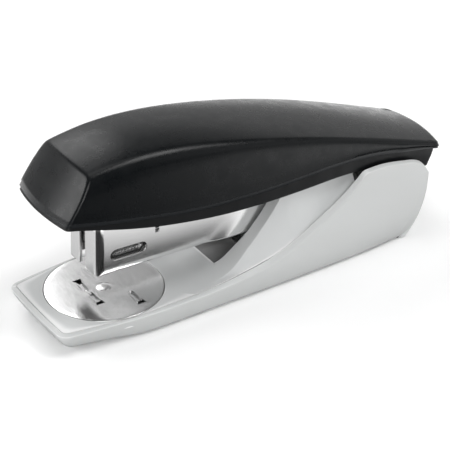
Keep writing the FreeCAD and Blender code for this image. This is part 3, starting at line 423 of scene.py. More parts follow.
def capProfile(x):
    # right half of the cap's section at x, from its lower edge to the crown
    low, shoulder, top, shoulderZ, topZ, crownZ = (line(x) for line in sectionLines)
    edge = capEdge(x)
    rise = min(handle["stepHeight"], 0.3 * (shoulderZ - edge))
    step = min(handle["step"], 0.25 * rise)
    foot = (handleSide(x, edge), edge)
    b, c = (shoulder, shoulderZ), (top, topZ)
    cut = min(handle["soften"], 0.45 * math.dist(b, c))

    def crown(y):
        return topZ + (crownZ - topZ) * (1 - (y / top) ** 2)

    start = (handleSide(x, edge + rise + step), edge + rise + step)
    cutLow = min(handle["soften"], 0.3 * math.dist(start, b))
    points = [(foot[0] - step, edge), (handleSide(x, edge + rise) - step, edge + rise)]
    cornerB = softCorner(start, b, c, min(cut, cutLow), 7)
    side = between(start, cornerB[0], 8)
    length = math.dist(start, b)
    for i, (y, z) in enumerate(side):
        share = math.dist(start, (y, z)) / length
        points.append((y + handle["sideBulge"] * 4 * share * (1 - share), z))
    points += cornerB[1:]
    inner = (top - cut, crown(top - cut))
    points += softCorner(b, c, inner, cut, 7)
    points += [(y, crown(y)) for y in np.linspace(top - cut, 0, 12)[1:]]
    return points


def drawnIn(loop, cut):
    # the loop of (y, z) moved in by cut along its own normals
    points = np.array([(-y, z) for _, y, z in loop])
    result = []
    for v, (y, z) in enumerate(points):
        a, b = points[max(v - 1, 0)], points[min(v + 1, len(points) - 1)]
        tangent = (b - a) / np.linalg.norm(b - a)
        normal = np.array((-tangent[1], tangent[0]))
        if v < 2:
            normal = np.array((-1.0, 0.0))
        if v == len(points) - 1:
            normal = np.array((0.0, -1.0))
        moved = np.array((y, z)) + normal * cut
        result.append((max(moved[0], 0.0), moved[1]))
    return result


def squeezed(loop):
    # the loop of (y, z) made narrower and lower over its foot
    narrow, lower = handle["tailSqueeze"]
    return [(-y * narrow, loop[0][2] + (z - loop[0][2]) * lower) for _, y, z in loop]


def makeCap():
    xs = np.linspace(noseX - 1, tipX + 1, 400)
    table = np.array([capProfile(x) for x in xs])          # station, point, (y, z)
    count = table.shape[1]
    ends = []
    for v in range(count):
        back = handle["step"] if v < 2 else 0.0
        nose = np.array([x - noseSurface(y, z, back) for x, (y, z) in zip(xs, table[:, v])])
        tail = np.array([x - tailSurface(y, back) for x, (y, z) in zip(xs, table[:, v])])
        ends.append((np.interp(0, nose, xs), np.interp(0, tail, xs)))

    def at(v, x):
        return (x, -float(np.interp(x, xs, table[:, v, 0])), float(np.interp(x, xs, table[:, v, 1])))

    bm = bmesh.new()
    stations = [0.5 - 0.5 * math.cos(math.pi * i / 110) for i in range(111)]
    noseCut, tailCut = handle["noseCut"], handle["tailCut"]
    starts = [at(v, ends[v][0] + noseCut) for v in range(count)]
    finals = [at(v, ends[v][1] - tailCut) for v in range(count)]
    body = [[at(v, starts[v][0] + (finals[v][0] - starts[v][0]) * u) for v in range(count)] for u in stations]

    def endRows(edge, body, surface, inner):
        # the rounded edge, then the end face in level rows
        faceLoop = [(surface(y, z, v), -y, z) for v, (y, z) in enumerate(inner)]
        rows = [[None] * count for _ in range(5)]
        for v in range(count):
            a, b, c = (np.array(p) for p in (body[v], edge[v], faceLoop[v]))
            for i, s in enumerate(np.linspace(0, 1, 6)[1:]):
                rows[i][v] = tuple((1 - s) ** 2 * a + 2 * s * (1 - s) * b + s * s * c)
        face = []
        for v, (y, z) in enumerate(inner):
            face.append([(surface(w, z, v), w, z) for w in np.linspace(-y, y, 17)])
        return rows, face

    noseEdge = [at(v, ends[v][0]) for v in range(count)]
    tailEdge = [at(v, ends[v][1]) for v in range(count)]
    step = handle["step"]
    noseRows, noseFace = endRows(noseEdge, starts, lambda y, z, v: noseSurface(y, z, step if v < 2 else 0),
                                 drawnIn(noseEdge, noseCut))
    tailRows, tailFace = endRows(tailEdge, finals, lambda y, z, v: tailSurface(y, step if v < 2 else 0),
                                 squeezed(tailEdge))
    addGrid(bm, [mirrored(row) for row in noseRows[::-1] + body + tailRows])
    addGrid(bm, noseFace)
    addGrid(bm, tailFace)
    piece = makeMesh("handleCap", bm)
    thinning = piece.vertex_groups.new(name="wall")         # the wall is thinner towards the tail
    thinFrom, thinOver = handle["thinning"]
    for vertex in piece.data.vertices:
        share = float(ease((vertex.co.x / mm - tipX + thinFrom) / thinOver))
        thinning.add([vertex.index], 1 - (1 - handle["thinWall"]) * share, "REPLACE")
    modify(piece, "SOLIDIFY", thickness=handle["wall"] * mm, offset=-1, use_even_offset=False, vertex_group="wall")
    bevelled(piece, handle["capRound"])
    applyAll(piece, 40)
    return place(piece, "handle", "handle_plastic", finishes["handle"], "handle_cap")


def skirtRow(share):
    # one loop round the skirt, at a share of its height
    inset = handle["skirtInset"]
    endX = handle["skirtEnd"] - handle["skirtSlant"] * min(share * 1.6, 1)
    frontCut, rearCut = handle["skirtCorners"]

    def heightAt(x):
        return skirtEdge(x) + share * (capEdge(x) + handle["skirtOverlap"] - skirtEdge(x))

    def half(x):
        return handleSide(x, heightAt(x)) - inset

    noseZ, corner = heightAt(noseX + 1.5), half(noseX + 3)
    start = noseSurface(corner, noseZ, inset)
    end = tailSurface(half(tipX - endX - 2), endX)
    nose = [(noseSurface(y, noseZ, inset), y) for y in np.linspace(0, corner - frontCut, 7)]
    nose = [(x, -y, heightAt(x)) for x, y in nose]
    side = [(x, -half(x), heightAt(x)) for x in np.linspace(start + frontCut, end - rearCut, 64)]
    tail = [(tailSurface(y, endX), y) for y in np.linspace(half(end) - rearCut, 0, 7)]
    tail = [(x, -y, heightAt(x)) for x, y in tail]
    frontCorner = (start, -corner, heightAt(start))
    rearCorner = (tailSurface(half(end), endX), -half(end), heightAt(end))
    right = nose[:-1] + softCorner(nose[-2], frontCorner, side[1], frontCut, 5) + side[1:-1]
    right += softCorner(side[-2], rearCorner, tail[1], rearCut, 5) + tail[1:]
    return right + [(x, -y, z) for x, y, z in right[-2:0:-1]]


def makeSkirt():
    # a band inside the cap's edge that shows below it
    bm = bmesh.new()
    addGrid(bm, [skirtRow(share) for share in handle["skirtLevels"]], closeColumns=True)
    piece = makeMesh("handleSkirt", bm)
    modify(piece, "SOLIDIFY", thickness=handle["skirtWall"] * mm, offset=-1, use_even_offset=True)
    bevelled(piece, handle["skirtRound"])
    applyAll(piece, 40)
    return place(piece, "handle", "skirt_plastic", finishes["skirt"], "handle_skirt")


makeCap()
makeSkirt()
print("handle made")


base = {
    "plan": ((0.004, 0.83), (0.05, 0.88), (0.118, 0.935), (0.189, 0.985), (0.3, 1.0), (0.517, 1.0),
             (0.74, 0.985), (0.888, 0.95), (0.978, 0.9), (1.012, 0.87)),
    "levels": ((0.0, 2.2), (0.03, 1.6), (0.08, 1.0), (0.15, 0.45), (0.26, 0.0), (0.62, 0.3), (1.0, 1.2)),
    "sweep": ((0.0, 0.0), (0.2, 0.0), (0.346, 0.0), (0.416, 0.035), (0.48, 0.09), (0.545, 0.173), (0.61, 0.323),
              (0.677, 0.522), (0.743, 0.735), (0.787, 0.92), (0.804, 1.0)),
    "housing": ((0.804, 1.0), (0.866, 0.99), (0.926, 0.92), (0.968, 0.841), (0.985, 0.76), (1.0, 0.62)),
    "rear": ((-0.37, 8.8), (-0.24, 6.2), (0.0, 3.0), (0.35, 0.6), (0.62, 0.0)),
    "noseLean": 1.7, "noseLength": 34.0, "soleShare": (0.982, 0.93), "soleGap": 1.2,
    "tailGap": 9.0, "housingTop": 31.0, "bottom": 0.5, "floor": 2.3, "frontCut": 3.2, "rearCut": 1.4,
    "sill": 8.0, "gapHalf": 15.5,
    "band": ((-24.5, 1.9), (-12, 1.45), (0, 1.02), (12, 1.4), (25, 1.6), (110, 1.5)),
    "drop": ((-24.5, 0.45), (18, 0.5), (30, 0.8), (48, 1.5), (78, 1.5), (85, 0.6), (110, 0.6)),
    "wallRows": (0.05, 0.12, 0.2, 0.3, 0.42, 0.56, 0.7, 0.84, 1), "soften": 0.34,
    "screwSpots": ((-42, 5.5), (-4, 5.5)), "screwRadius": 2.6,
}
rearX = tipX - base["tailGap"]
baseLength = rearX - frontX
climb = base["housingTop"] - rimZ
wallHeight = base["housingTop"] - base["bottom"]
leanAt = flow([(base["bottom"] + share * wallHeight, inset) for share, inset in base["levels"]])
rearLean = flow([(rimZ + up * climb, lean) for up, lean in base["rear"]])
bandAt = straight([(x + anvilX, width) for x, width in base["band"]])
dropAt = straight([(x + anvilX, width) for x, width in base["drop"]])


def wallTopLine():
    # the height of the wall's upper edge along the base, with its corners eased
    sweep = flow([(frontX + share * baseLength, rimZ + up * climb) for share, up in base["sweep"]])
    housing = flow([(frontX + share * baseLength, rimZ + up * climb) for share, up in base["housing"]])
    joint = frontX + base["housing"][0][0] * baseLength
    xs = np.arange(frontX - 4, rearX + 4, 0.2)
    heights = np.array([max(sweep(x), rimZ) if x < joint else housing(x) for x in xs])
    heights[xs < frontX + base["sweep"][2][0] * baseLength] = rimZ
    kernel = np.hanning(13) / np.hanning(13).sum()
    padded = np.pad(heights, 6, mode="edge")
    return xs, np.convolve(padded, kernel, mode="valid")


topX, topZ = wallTopLine()


def baseOutline():
    # right half of the base's widest outline, from the nose's middle to the rear's middle
    side = flow([(frontX + share * baseLength, width * halfWidth) for share, width in base["plan"]])
    cornerX, cornerY = frontX + base["plan"][0][0] * baseLength, base["plan"][0][1] * halfWidth
    sag = cornerX - frontX
    radius = (cornerY ** 2 + sag ** 2) / (2 * sag)
    frontCut, rearCut = base["frontCut"], base["rearCut"]
    noseYs = np.linspace(0, cornerY - frontCut, 12)
    nose = [(frontX + radius - math.sqrt(radius ** 2 - y * y), y) for y in noseYs]
    sides = [(x, float(side(x))) for x in np.linspace(cornerX + frontCut, rearX - rearCut, 128)]
    front = softCorner(nose[-1], (cornerX, cornerY), sides[0], frontCut, 9)
    rearY = float(side(rearX))
    back = softCorner(sides[-1], (rearX, rearY), (rearX, 0), rearCut, 11)
    rear = [(rearX, y) for y in np.linspace(rearY - rearCut, 0, 26)]
    points = np.array(nose[:-1] + front + sides[1:-1] + back + rear[1:])
    tangents = np.gradient(points, axis=0)
    normals = np.stack([tangents[:, 1], -tangents[:, 0]], axis=1)
    normals /= np.linalg.norm(normals, axis=1)[:, None]
    normals[0], normals[-1] = (1, 0), (-1, 0)
    outward = np.where((normals * points).sum(axis=1)[:, None] > 0, 1, -1)
    return points, -normals * outward


outlinePoints, outlineInward = baseOutline()


def basePoint(i, z, inset):
    # a point of the base's side at station i and height z, moved in by inset
    (x, y), (inX, inY) = outlinePoints[i], outlineInward[i]
    lean, rearShare = max(float(leanAt(z)), 0.0), float(ease((x - (rearX - 14)) / 14))
    depth = lean * (1 - rearShare * float(abs(inX))) + inset
    x, y = x + inX * depth, y + inY * depth
    if z < rimZ:
        # the foot is tucked well in under the nose
        tuck = lean * base["noseLean"] * (1 - float(ease((x - frontX) / base["noseLength"])))
        x, y = x + tuck, y * (1 - tuck / halfWidth)
    x -= max(float(rearLean(z)), 0.0) * float(ease((x - (rearX - 32)) / 30))
    return (x, -max(y, 0.0), z)


def wallTop(i):
    # height of the wall's upper edge at a station; it drops to a sill in the rear gap
    x, y = outlinePoints[i]
    height = float(np.interp(x, topX, topZ))
    if x > rearX - 1:
        height = base["sill"] + (height - base["sill"]) * float(ease((y - base["gapHalf"] + 0.6) / 1.2))
    return height


def drillScrews(piece, radius, top):
    # a hole at each of the base's screws
    tools = []
    for back, side in base["screwSpots"]:
        for y in (-side, side):
            tools.append(prism("screwHole", circle(pinX + back, y, radius), -2, top))
    cutAway(piece, tools)


def makeBaseShell():
    rows = []
    bottom, floor = base["bottom"], base["floor"]
    for i, (x, _) in enumerate(outlinePoints):
        top, band = wallTop(i), float(bandAt(x))
        outer = top - float(dropAt(x))
        profile = [(0.55, bottom), (0.2, bottom + 0.04), (0.04, bottom + 0.2)]
        low, high = bottom + 0.2, outer - 0.34
        profile += [(0, low + (high - low) * share) for share in base["wallRows"]]
        profile += softCorner((0, outer - 1), (0, outer), (band, top), base["soften"], 5)[1:]
        profile += softCorner((0, outer), (band, top), (band, top - 1), base["soften"], 5)
        profile += [(band, z) for z in np.linspace(top - base["soften"], floor, 7)[1:]]
        rows.append([basePoint(i, z, inset) for inset, z in profile])
    left = [[(x, -y, z) for x, y, z in row] for row in rows[-2:0:-1]]
    bm = bmesh.new()
    made = addGrid(bm, rows + left, closeRows=True)[:-1]
    bm.faces.new([row[0] for row in made])
    bm.faces.new([row[-1] for row in made])
    piece = makeMesh("baseShell", bm)
    drillScrews(piece, base["screwRadius"], floor + 2)
    applyAll(piece, 42)
    return place(piece, "base", "light_plastic", finishes["base"], "base_shell")


deck = {
    "ramp": ((18, 8.4), (22, 8.42), (28, 8.9), (33.2, 10), (37, 11.9), (41.1, 14.9), (44.1, 17.1), (48, 20.9),
             (52.3, 26.2), (55.6, 31.4), (58, 35.5)),
    "rampStart": 21.0, "rampEase": 6.0, "cheekTop": 32.6, "cheekEnd": 82.0, "gap": 0.12,
    "opening": 33.5, "inner": ((33.5, 9.3), (37, 9.6), (41, 9.7), (45, 9.8), (52, 9.9), (60, 10.0), (90, 10.0)),
    "crease": ((20, 16.6), (29.6, 16.5), (33.5, 16.35), (38, 15.95), (43.2, 14.85), (48, 14.4), (62, 14.3),
               (66, 13.8), (72, 12.8), (80, 12.3), (90, 12.2)),
    "creaseCut": 0.3, "lipCut": 0.45, "lean": ((60, 0.3, 0.42), (68, 0.12, 0.27), (90, 0.1, 0.25)),
    "step": ((22, 0.05), (46, 0.1), (58, 0.8), (70, 2.4), (76, 4.0), (82, 5.0)),
    "discRadius": 18.46, "recess": 7.15, "groove": (15.5, 6.2), "openFloor": 6.6, "sheet": 1.1,
}
rampAt = flow([(x + anvilX, z) for x, z in deck["ramp"]])
innerAt = straight([(x + anvilX, y) for x, y in deck["inner"]])
creaseAt = flow([(x + anvilX, y) for x, y in deck["crease"]])
stepAt = straight([(x + anvilX, z) for x, z in deck["step"]])
leanY, leanZ = (straight([(row[0] + anvilX, row[i]) for row in deck["lean"]]) for i in (1, 2))


def rimLine():
    # the deck's edge, a gap inside the wall's band
    line = []
    for i, (x, _) in enumerate(outlinePoints):
        line.append(basePoint(i, wallTop(i) - float(stepAt(x)), float(bandAt(x)) + deck["gap"]))
    return np.array([point for point in line if point[0] < anvilX + deck["cheekEnd"] + 4])


deckRim = rimLine()


def deckHeight(x):
    # the ramp that rises from the flat front to the cheeks' tops
    if x < anvilX + deck["rampStart"]:
        return rimZ
    share = float(ease((x - anvilX - deck["rampStart"]) / deck["rampEase"]))
    return min(max(rimZ + (float(rampAt(x)) - rimZ) * share, rimZ), deck["cheekTop"])


def deckRow(x):
    # half of the deck across at x: its core, the lip of the opening, the flat, the crease and the side
    rimY, rimHeight = (float(np.interp(x, deckRim[:, 0], deckRim[:, i])) for i in (1, 2))
    edge = (-rimY, rimHeight)
    height, crease = deckHeight(x), float(creaseAt(x))
    past = x - anvilX - deck["opening"]
    inner = float(innerAt(x))
    lip = deck["lipCut"] * float(ease(past / 2)) + 0.002
    core = between((0, height), (inner, height), 6)[:-1] if past < 0.001 else []
    corner = softCorner((inner, height - 3), (inner, height), (inner + 3, height), lip, 5)
    shareY, shareZ = float(leanY(x)), float(leanZ(x))
    knee = (crease + shareY * (edge[0] - crease), edge[1] + shareZ * (height - edge[1]))
    cut = min(deck["creaseCut"], 0.4 * math.dist((crease, height), edge))
    bend = softCorner((inner, height), (crease, height), knee, cut, 6)
    start, knee, edge = (np.array(p) for p in (bend[-1], knee, edge))
    side = []
    for t in np.linspace(0, 1, 15)[1:]:
        side.append(tuple((1 - t) ** 2 * start + 2 * t * (1 - t) * knee + t * t * edge))
    points = corner + between(corner[-1], bend[0], 6)[1:-1] + bend + side
    return [(x, -y, z) for y, z in core], [(x, -y, z) for y, z in points]


def aroundAnvil(x, y, radius, z):
    # the point towards (x, y) at a radius from the anvil's middle
    away = math.hypot(x - anvilX, y)
    return (anvilX + (x - anvilX) * radius / away, y * radius / away, z)


def makeBaseDeck():
    frontLine, endLine = anvilX + deck["rampStart"], anvilX + deck["cheekEnd"]
    openX = anvilX + deck["opening"]
    closed = [sum(deckRow(x), []) for x in np.linspace(frontLine, openX, 22)]
    openXs = [openX + 0.0005] + list(np.linspace(openX, openX + 2, 7)[1:])
    opened = [deckRow(x)[1] for x in openXs + list(np.linspace(openX + 2, endLine, 72)[1:])]
    bm = bmesh.new()
    # the front, from the anvil's recess out to the rim; its angles fit the first cross row
    firstRow = mirrored(closed[0][::-1])
    forward = [tuple(p) for p in deckRim[::-1] if p[0] < frontLine - 0.3]
    boundary = firstRow[::-1] + forward + [(x, -y, z) for x, y, z in forward[-2::-1]]
    radius, (grooveStart, grooveFloor) = deck["discRadius"], deck["groove"]
    rings = []
    for reach, z in ((0, deck["recess"]), (grooveStart, deck["recess"]), (grooveStart + 0.3, grooveFloor),
                     (radius, grooveFloor), (radius, rimZ - 0.1)):
        rings.append([aroundAnvil(x, y, reach, z) for x, y, _ in boundary])
    for share in (0, 0.05, 0.25, 0.6, 1):
        ring = []
        for x, y, z in boundary:
            away = math.hypot(x - anvilX, y)
            reach = radius + 0.08 + share * max(away - radius - 0.08, 0.02)
            ring.append(aroundAnvil(x, y, reach, rimZ + (z - rimZ) * share))
        rings.append(ring)
    addGrid(bm, rings, closeColumns=True)
    addGrid(bm, [mirrored(row[::-1]) for row in closed])
    lowZ = deck["openFloor"]
    for side in (1, -1):
        grid = []
        for row in opened:
            x, y, top = row[0]
            grid.append([(x, y, z) for z in np.linspace(lowZ, top, 7)[:-1]] + row)
        last = grid[-1]
        grid.append([(x + 0.3, y, max(z - 0.3, lowZ)) for x, y, z in last])
        grid.append([(x + 0.3, y, lowZ) for x, y, z in last])
        addGrid(bm, [[(x, y * side, z) for x, y, z in row] for row in grid])
    piece = makeMesh("baseDeck", bm, merge=0.01)
    modify(piece, "SOLIDIFY", thickness=deck["sheet"] * mm, offset=-1, use_even_offset=False)
    applyAll(piece, 42)
    return place(piece, "base", "deck_plastic", finishes["deck"], "base_deck")


def makeSole():
    # the sole keeps just inside the shell's foot, with a hole round each screw
    top = base["bottom"]
    middle, (alongShare, acrossShare) = (frontX + rearX) / 2, base["soleShare"]
    edge = [basePoint(i, top, 0.3)[:2] for i in range(0, len(outlinePoints), 2)]
    half = [(middle + (x - middle) * alongShare, y * acrossShare) for x, y in edge]
    outline = half + [(x, -y) for x, y in half[::-1] if y < -0.01]
    sole = prism("rubberSole", outline, boxOf("rubber_sole")[0].z, top + 0.1)
    drillScrews(sole, base["screwRadius"] + base["soleGap"], top + 1)
    applyAll(sole, 40)
    return place(sole, "base", "dark_rubber", finishes["sole"], "rubber_sole")


makeBaseShell()
makeBaseDeck()
makeSole()
print("base made")


anvil = {
    "edge": 0.22, "rivetRadius": 2.45, "rivetDome": 0.14,
    "closing": (-5.3, 0.6, 7.6), "pinning": (5.3, 6.2, 13.9),
    "slot": (1.5, 0.5), "flare": (2.9, 2.1, 0.95), "lip": (0.45, 0.18),
}


def slotOutline(x, y0, y1, half, count=8):
    # a slot along y with round ends, going from y0 to y1
    way = 1 if y1 > y0 else -1
    turns = np.linspace(0, math.pi, count)
    return ([(x + half * math.cos(t), y1 + way * half * (math.sin(t) - 1)) for t in turns]
            + [(x - half * math.cos(t), y0 - way * half * (math.sin(t) - 1)) for t in turns])


def makeAnvil():
    low, high = boxOf("anvil_disc")
    radius, bottom, top = (high.x - low.x) / 2, low.z, high.z
    edge, stem = anvil["edge"], anvil["rivetRadius"]
    profile = [(stem, bottom), (radius - edge, bottom)]
    profile += softCorner((radius - 1, bottom), (radius, bottom), (radius, top), edge, 5)[1:]
    profile += softCorner((radius, bottom), (radius, top), (0, top), edge, 6)
    profile += [(radius * share, top) for share in (0.9, 0.75, 0.6, 0.45, 0.3)] + [(stem, top), (stem, bottom)]
    disc = lathe("anvilDisc", profile, anvilX, 0, 160)
    half, depth = anvil["slot"][0] / 2, anvil["slot"][1]
    mouth, reach, sink = anvil["flare"]
    lipWide, lipHigh = anvil["lip"]
    lips, tools = [], []
    for offset, near, far in (anvil["closing"], anvil["pinning"]):
        for side in (-1, 1):
            x, y0, y1 = anvilX + offset, side * near, side * far
            lip, slot = slotOutline(x, y0, y1, half + lipWide), slotOutline(x, y0, y1 - side * reach * 0.6, half)
            lips.append(prism("lip", lip, top - 0.3, top + lipHigh, taper=0.03))
            tools.append(prism("slot", slot, top + 1, top - depth, taper=0.08))
            inner = y1 - side * reach
            fan = [(x - half, inner), (x - mouth / 2, y1), (x + mouth / 2, y1), (x + half, inner)]
            tools.append(prism("fan", fan, top + 1, top - sink))
    for lip in lips:
        modify(disc, "BOOLEAN", object=lip, operation="UNION", solver="EXACT")
        applyAll(disc, 22)
        bpy.data.objects.remove(lip)
    cutAway(disc, tools)
    applyAll(disc, 22)
    place(disc, "anvil", "anvil_steel", finishes["anvil"], "anvil_disc")
    foot, dome = boxOf("anvil_stem")[0].z, anvil["rivetDome"]
    head = [(0, foot), (stem, foot), (stem, top - 0.05), (stem - 0.12, top - 0.12), (stem - 0.3, top - 0.1),
            (stem - 0.45, top + 0.02)]
    turns = np.linspace(0.1, math.pi / 2, 9)
    head += [((stem - 0.45) * math.cos(t), top + 0.02 + dome * math.sin(t)) for t in turns]
    head[-1] = (0, head[-1][1])
    place(lathe("anvilStem", head, anvilX, 0, 64), "anvil", "anvil_steel", finishes["anvil"], "anvil_stem")


makeAnvil()
print("anvil made")


# the magazine's pieces are drawn about the hinge pin, and then tilted with it
magazine = {
    "tilt": 2.0, "front": -104.85, "rear": 5.5, "half": 8.3, "bottom": -5.0, "top": 9.4, "headTop": 11.4,
    "headLength": 20.0, "notchLength": 1.4, "notchDepth": 4.6, "mouth": 5.0, "slit": 3.3, "bend": 1.9,
    "roll": 0.9, "sheet": 0.9, "crown": 0.32, "edgeRound": 0.12,
    "window": (4.6, 12.6, 4.0, 4.0),                     # behind the front, length, over the foot, height
    "flare": (0.95, -68.0, -56.0, 9.0),                   # depth, its start at the foot and at the top, width
    "pinRadius": 2.05,
    "wireRound": ((0.02, 0.2), (0.16, 0.05), (0.5, 0.0), (0.84, 0.05), (0.98, 0.2)),    # along, depth
    "staples": 90, "stapleHalf": 6.4, "stapleHeight": 6.0, "wire": 0.5, "stripFront": -103.05, "stripFoot": -3.45,
}
toMagazine = Matrix.Translation((pinX * mm, 0, pinZ * mm)) @ Matrix.Rotation(math.radians(magazine["tilt"]), 4, "Y")


def setTilted(piece):
    # the mesh goes from the pin's own frame to its place
    piece.data.transform(toMagazine)
    return piece


def flareOut(x, z):
    # how far the cover's side stands out: a slight crown, and the flare behind its slanting edge
    depth, foot, head, width = magazine["flare"]
    share = (z - magazine["bottom"]) / (magazine["top"] - magazine["bottom"])
    start = foot + (head - foot) * share
    flare = depth * float(ease((x - start) / width)) * (1 - min(share, 1))
    return flare + magazine["crown"] * 4 * share * (1 - share) * (1 - float(ease((x - start) / width)))


def makeCover():
    front, rear, half, bend = (magazine[key] for key in ("front", "rear", "half", "bend"))
    foot, roll = magazine["bottom"], magazine["roll"]
    headEnd = front + magazine["headLength"]
    plan = [(front, -y) for y in np.linspace(magazine["slit"] / 2, half - bend, 5)]
    plan += softCorner((front, 0), (front, -half), (0, -half), bend, 9)[1:]
    xs = list(np.linspace(front + bend, headEnd, 24))[1:] + [headEnd + 0.02]
    xs += list(np.linspace(headEnd, rear, 90))[1:]
    plan += [(x, -half) for x in xs]
    rolled = softCorner((0, foot + 3), (0, foot), (3, foot), roll, 6)
    bm = bmesh.new()
    for side in (1, -1):
        rows = []
        for x, y in plan:
            top = magazine["headTop"] if x <= headEnd + 0.01 else magazine["top"]
            levels = list(np.linspace(top, foot + roll, 14))
            column = [(x, (y - (flareOut(x, z) if y == -half else 0)) * side, z) for z in levels]
            if y > -half + 0.01:
                column += [(x, y * side, foot + roll * (1 - share)) for share in np.linspace(0, 1, 6)[1:]]
            else:
                out = flareOut(x, foot)
                column += [(x, (y - out + inward) * side, z) for inward, z in rolled[1:]]
            rows.append(column)
        addGrid(bm, rows)
        mouth = front + magazine["mouth"]
        plate = [row[-1] for row, (x, y) in zip(rows, plan) if y == -half and x >= mouth]
        addGrid(bm, [[(x, y * share, z) for share in (1, 0.75, 0.5, 0.25, 0)] for x, y, z in plate])
    piece = makeMesh("magazineCover", bm)
    modify(piece, "SOLIDIFY", thickness=magazine["sheet"] * mm, offset=-1, use_even_offset=True)
    bevelled(piece, magazine["edgeRound"], 60)
    applyAll(piece, 40)
    start, length, rise, height = magazine["window"]
    x0, z0 = front + start, foot + rise
    turns, end = np.linspace(-math.pi / 2, math.pi / 2, 12), height / 2
    slot = [(x0 + length - end + end * math.cos(t), z0 + end * (1 + math.sin(t))) for t in turns]
    slot += [(x0 + end - end * math.cos(t), z0 + end * (1 - math.sin(t))) for t in turns]
    notchX, notchZ = headEnd, magazine["top"] - magazine["notchDepth"]
    notch = [(notchX, notchZ), (notchX + magazine["notchLength"], notchZ),
             (notchX + magazine["notchLength"], notchZ + 8), (notchX, notchZ + 8)]
    cutAway(piece, [prism("slotTool", slot, -12, 12, "Y"), prism("notchTool", notch, -12, 12, "Y"),
                    prism("boreTool", circle(0, 0, magazine["pinRadius"], 40), -12, 12, "Y")])
    applyAll(setTilted(piece), 40)
    return place(piece, "magazine", "nickel_sheet", finishes["nickel"], "magazine_cover")


def makeStaples():
    # the strip as its wires, each with a rounded face and a groove before the next
    half, height, wire = magazine["stapleHalf"], magazine["stapleHeight"], magazine["wire"]
    foot = magazine["stripFoot"]

    def saddle(x, inset):
        outer = [(half - inset, foot), (half - inset, foot + height - 0.5)]
        crown = foot + height - inset
        outer += softCorner((half - inset, foot), (half - inset, crown), (0, crown), 0.4, 4)
        left = [(-y, z) for y, z in outer[::-1]]
        legY, underZ = half - wire, foot + height - wire
        inner = [(-legY, foot), (-legY, underZ), (legY, underZ), (legY, foot)]
        return [(x, y, z) for y, z in outer + left + inner]

    rows = []
    for number in range(magazine["staples"]):
        start = magazine["stripFront"] + number * wire
        for share, inset in magazine["wireRound"]:
            rows.append(saddle(start + share * wire, inset))
    bm = bmesh.new()
    made = addGrid(bm, rows, closeColumns=True)
    bm.faces.new(made[0])
    bm.faces.new(made[-1])
    piece = makeMesh("stapleStrip", bm)
    applyAll(setTilted(piece), 50)
    return place(piece, "magazine", "staple_wire", finishes["wire"], "staple_strip")


makeCover()
makeStaples()
print("magazine made")

# every CAD node that stays, with its finish
kept = {
    "base_frame": "frame", "base_screws": "fastener", "hinge_pin": "fastener",
    "pin_clip": "fastener", "lift_spring": "spring", "spring_rivet": "fastener", "anvil_washer": "spring",
    "anvil_clip": "spring",
    "staple_channel": "rail", "staple_rail": "rail", "spring_rod": "fastener",
    "rod_brackets": "rail", "follower_spring": "spring", "magazine_rivets": "fastener",
    "handle_spring": "spring", "follower": "follower", "driver_blade": "spring", "handle_lever": "lever",
    "driver_rivets": "fastener", "handle_screws": "fastener",
}
for node, finish in kept.items():
    mesh = frame["nodes"][node].data
    mesh.materials.clear()
    mesh.materials.append(finishes[finish])
print("kept nodes finished:", len(kept))

studio = {
    "floorSize": 6.0, "floorShade": 0.98, "worldStrength": 1.0,
    "sky": ((0.0, 0.0), (0.19, 0.0), (0.235, 0.55), (0.29, 1.15), (0.36, 2.8), (0.43, 1.8), (0.5, 0.4),
            (0.587, 0.7), (0.68, 1.1), (0.76, 0.36), (0.84, 0.1), (0.92, 0.15), (1.0, 0.65)),
    "dimSide": (-0.54, -0.84, 0), "dim": ((0.0, 1.0), (0.70, 1.0), (0.78, 0.05), (1.0, 0.05)),
    "aim": (0, 0, 0.03),
    "lights": {                                          # place, size, power
        "backSoftbox": ((0.02, 0.72, 0.60), (0.55, 0.35), 2.1),
        "leftSoftbox": ((-0.72, 0.36, 0.31), (0.3, 0.45), 2.5),
        "topSoftbox": ((0.35, -0.32, 0.80), (0.4, 0.4), 3.6),
        "frontFill": ((-0.45, -0.80, 0.40), (0.6, 0.5), 5.2),
        "overhead": ((-0.05, 0.15, 0.95), (0.5, 0.5), 1.3),
    },
    "cameraPlace": (-0.27525, -0.4207, 0.3287), "cameraTurn": (57.98, 0, -32.84), "lens": 152, "sensor": 36,
}


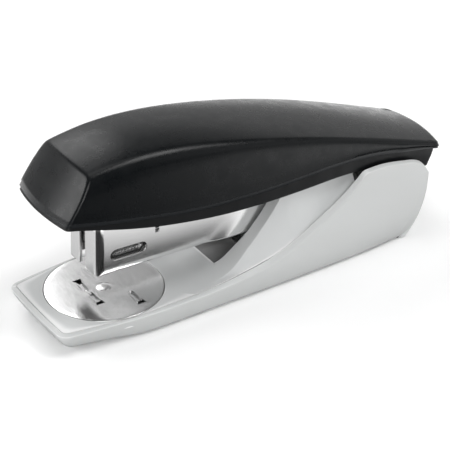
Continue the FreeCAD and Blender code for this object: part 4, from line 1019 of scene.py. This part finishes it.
def makeFloor():
    bm = bmesh.new()
    half = studio["floorSize"] / 2 / mm
    addGrid(bm, [[(-half, -half, 0), (half, -half, 0)], [(-half, half, 0), (half, half, 0)]])
    floor = makeMesh("studioFloor", bm)
    floor.visible_glossy = False
    finish = Finish("floorPaper", Roughness=0.9)
    cloud = finish.span(finish.noise(6, 2.0), 0, 1)
    shade = studio["floorShade"]
    finish.feed(Base_Color=finish.mix(cloud, grey(shade), grey(shade * 0.985)))
    floor.data.materials.append(finish.material)


def makeLight(name, spot, size, power):
    light = bpy.data.lights.new(name, "AREA")
    light.shape = "RECTANGLE"
    light.size, light.size_y = size
    light.energy = power
    lamp = bpy.data.objects.new(name, light)
    lamp.location = spot
    lamp.rotation_euler = (Vector(studio["aim"]) - Vector(spot)).to_track_quat("-Z", "Y").to_euler()
    bpy.context.scene.collection.objects.link(lamp)


def makeWorld():
    # a soft tent of light, dim low down on the side that the camera stands on
    world = bpy.data.worlds.new("studioWorld")
    world.use_nodes = True
    tree = world.node_tree
    background = tree.nodes["Background"]
    aim = Link(tree, tree.nodes.new("ShaderNodeTexCoord").outputs["Generated"])
    rise = aim.node("ShaderNodeSeparateXYZ", None, {"Vector": aim}, "Z")
    sides = {0: aim, 1: studio["dimSide"]}
    toFront = aim.node("ShaderNodeVectorMath", {"operation": "DOT_PRODUCT"}, sides, "Value")
    sky = aim.node("ShaderNodeValToRGB", {"stops": studio["sky"]}, {"Fac": rise * 0.5 + 0.5})
    dim = aim.node("ShaderNodeValToRGB", {"stops": studio["dim"]}, {"Fac": toFront * 0.5 + 0.5})
    multiply = {"data_type": "RGBA", "blend_type": "MULTIPLY"}
    both = aim.node("ShaderNodeMix", multiply, {0: 1.0, 6: sky, 7: dim}, 2)
    tree.links.new(both.socket, background.inputs["Color"])
    background.inputs["Strength"].default_value = studio["worldStrength"]
    bpy.context.scene.world = world


def makeCamera():
    camera = bpy.data.cameras.new("camera")
    camera.lens, camera.sensor_width = studio["lens"], studio["sensor"]
    holder = bpy.data.objects.new("camera", camera)
    holder.location = studio["cameraPlace"]
    holder.rotation_euler = [math.radians(a) for a in studio["cameraTurn"]]
    bpy.context.scene.collection.objects.link(holder)
    bpy.context.scene.camera = holder


makeFloor()
makeWorld()
for name, (spot, size, power) in studio["lights"].items():
    makeLight(name, spot, size, power)
makeCamera()
bpy.context.scene.view_settings.view_transform = "Standard"
print("studio made")
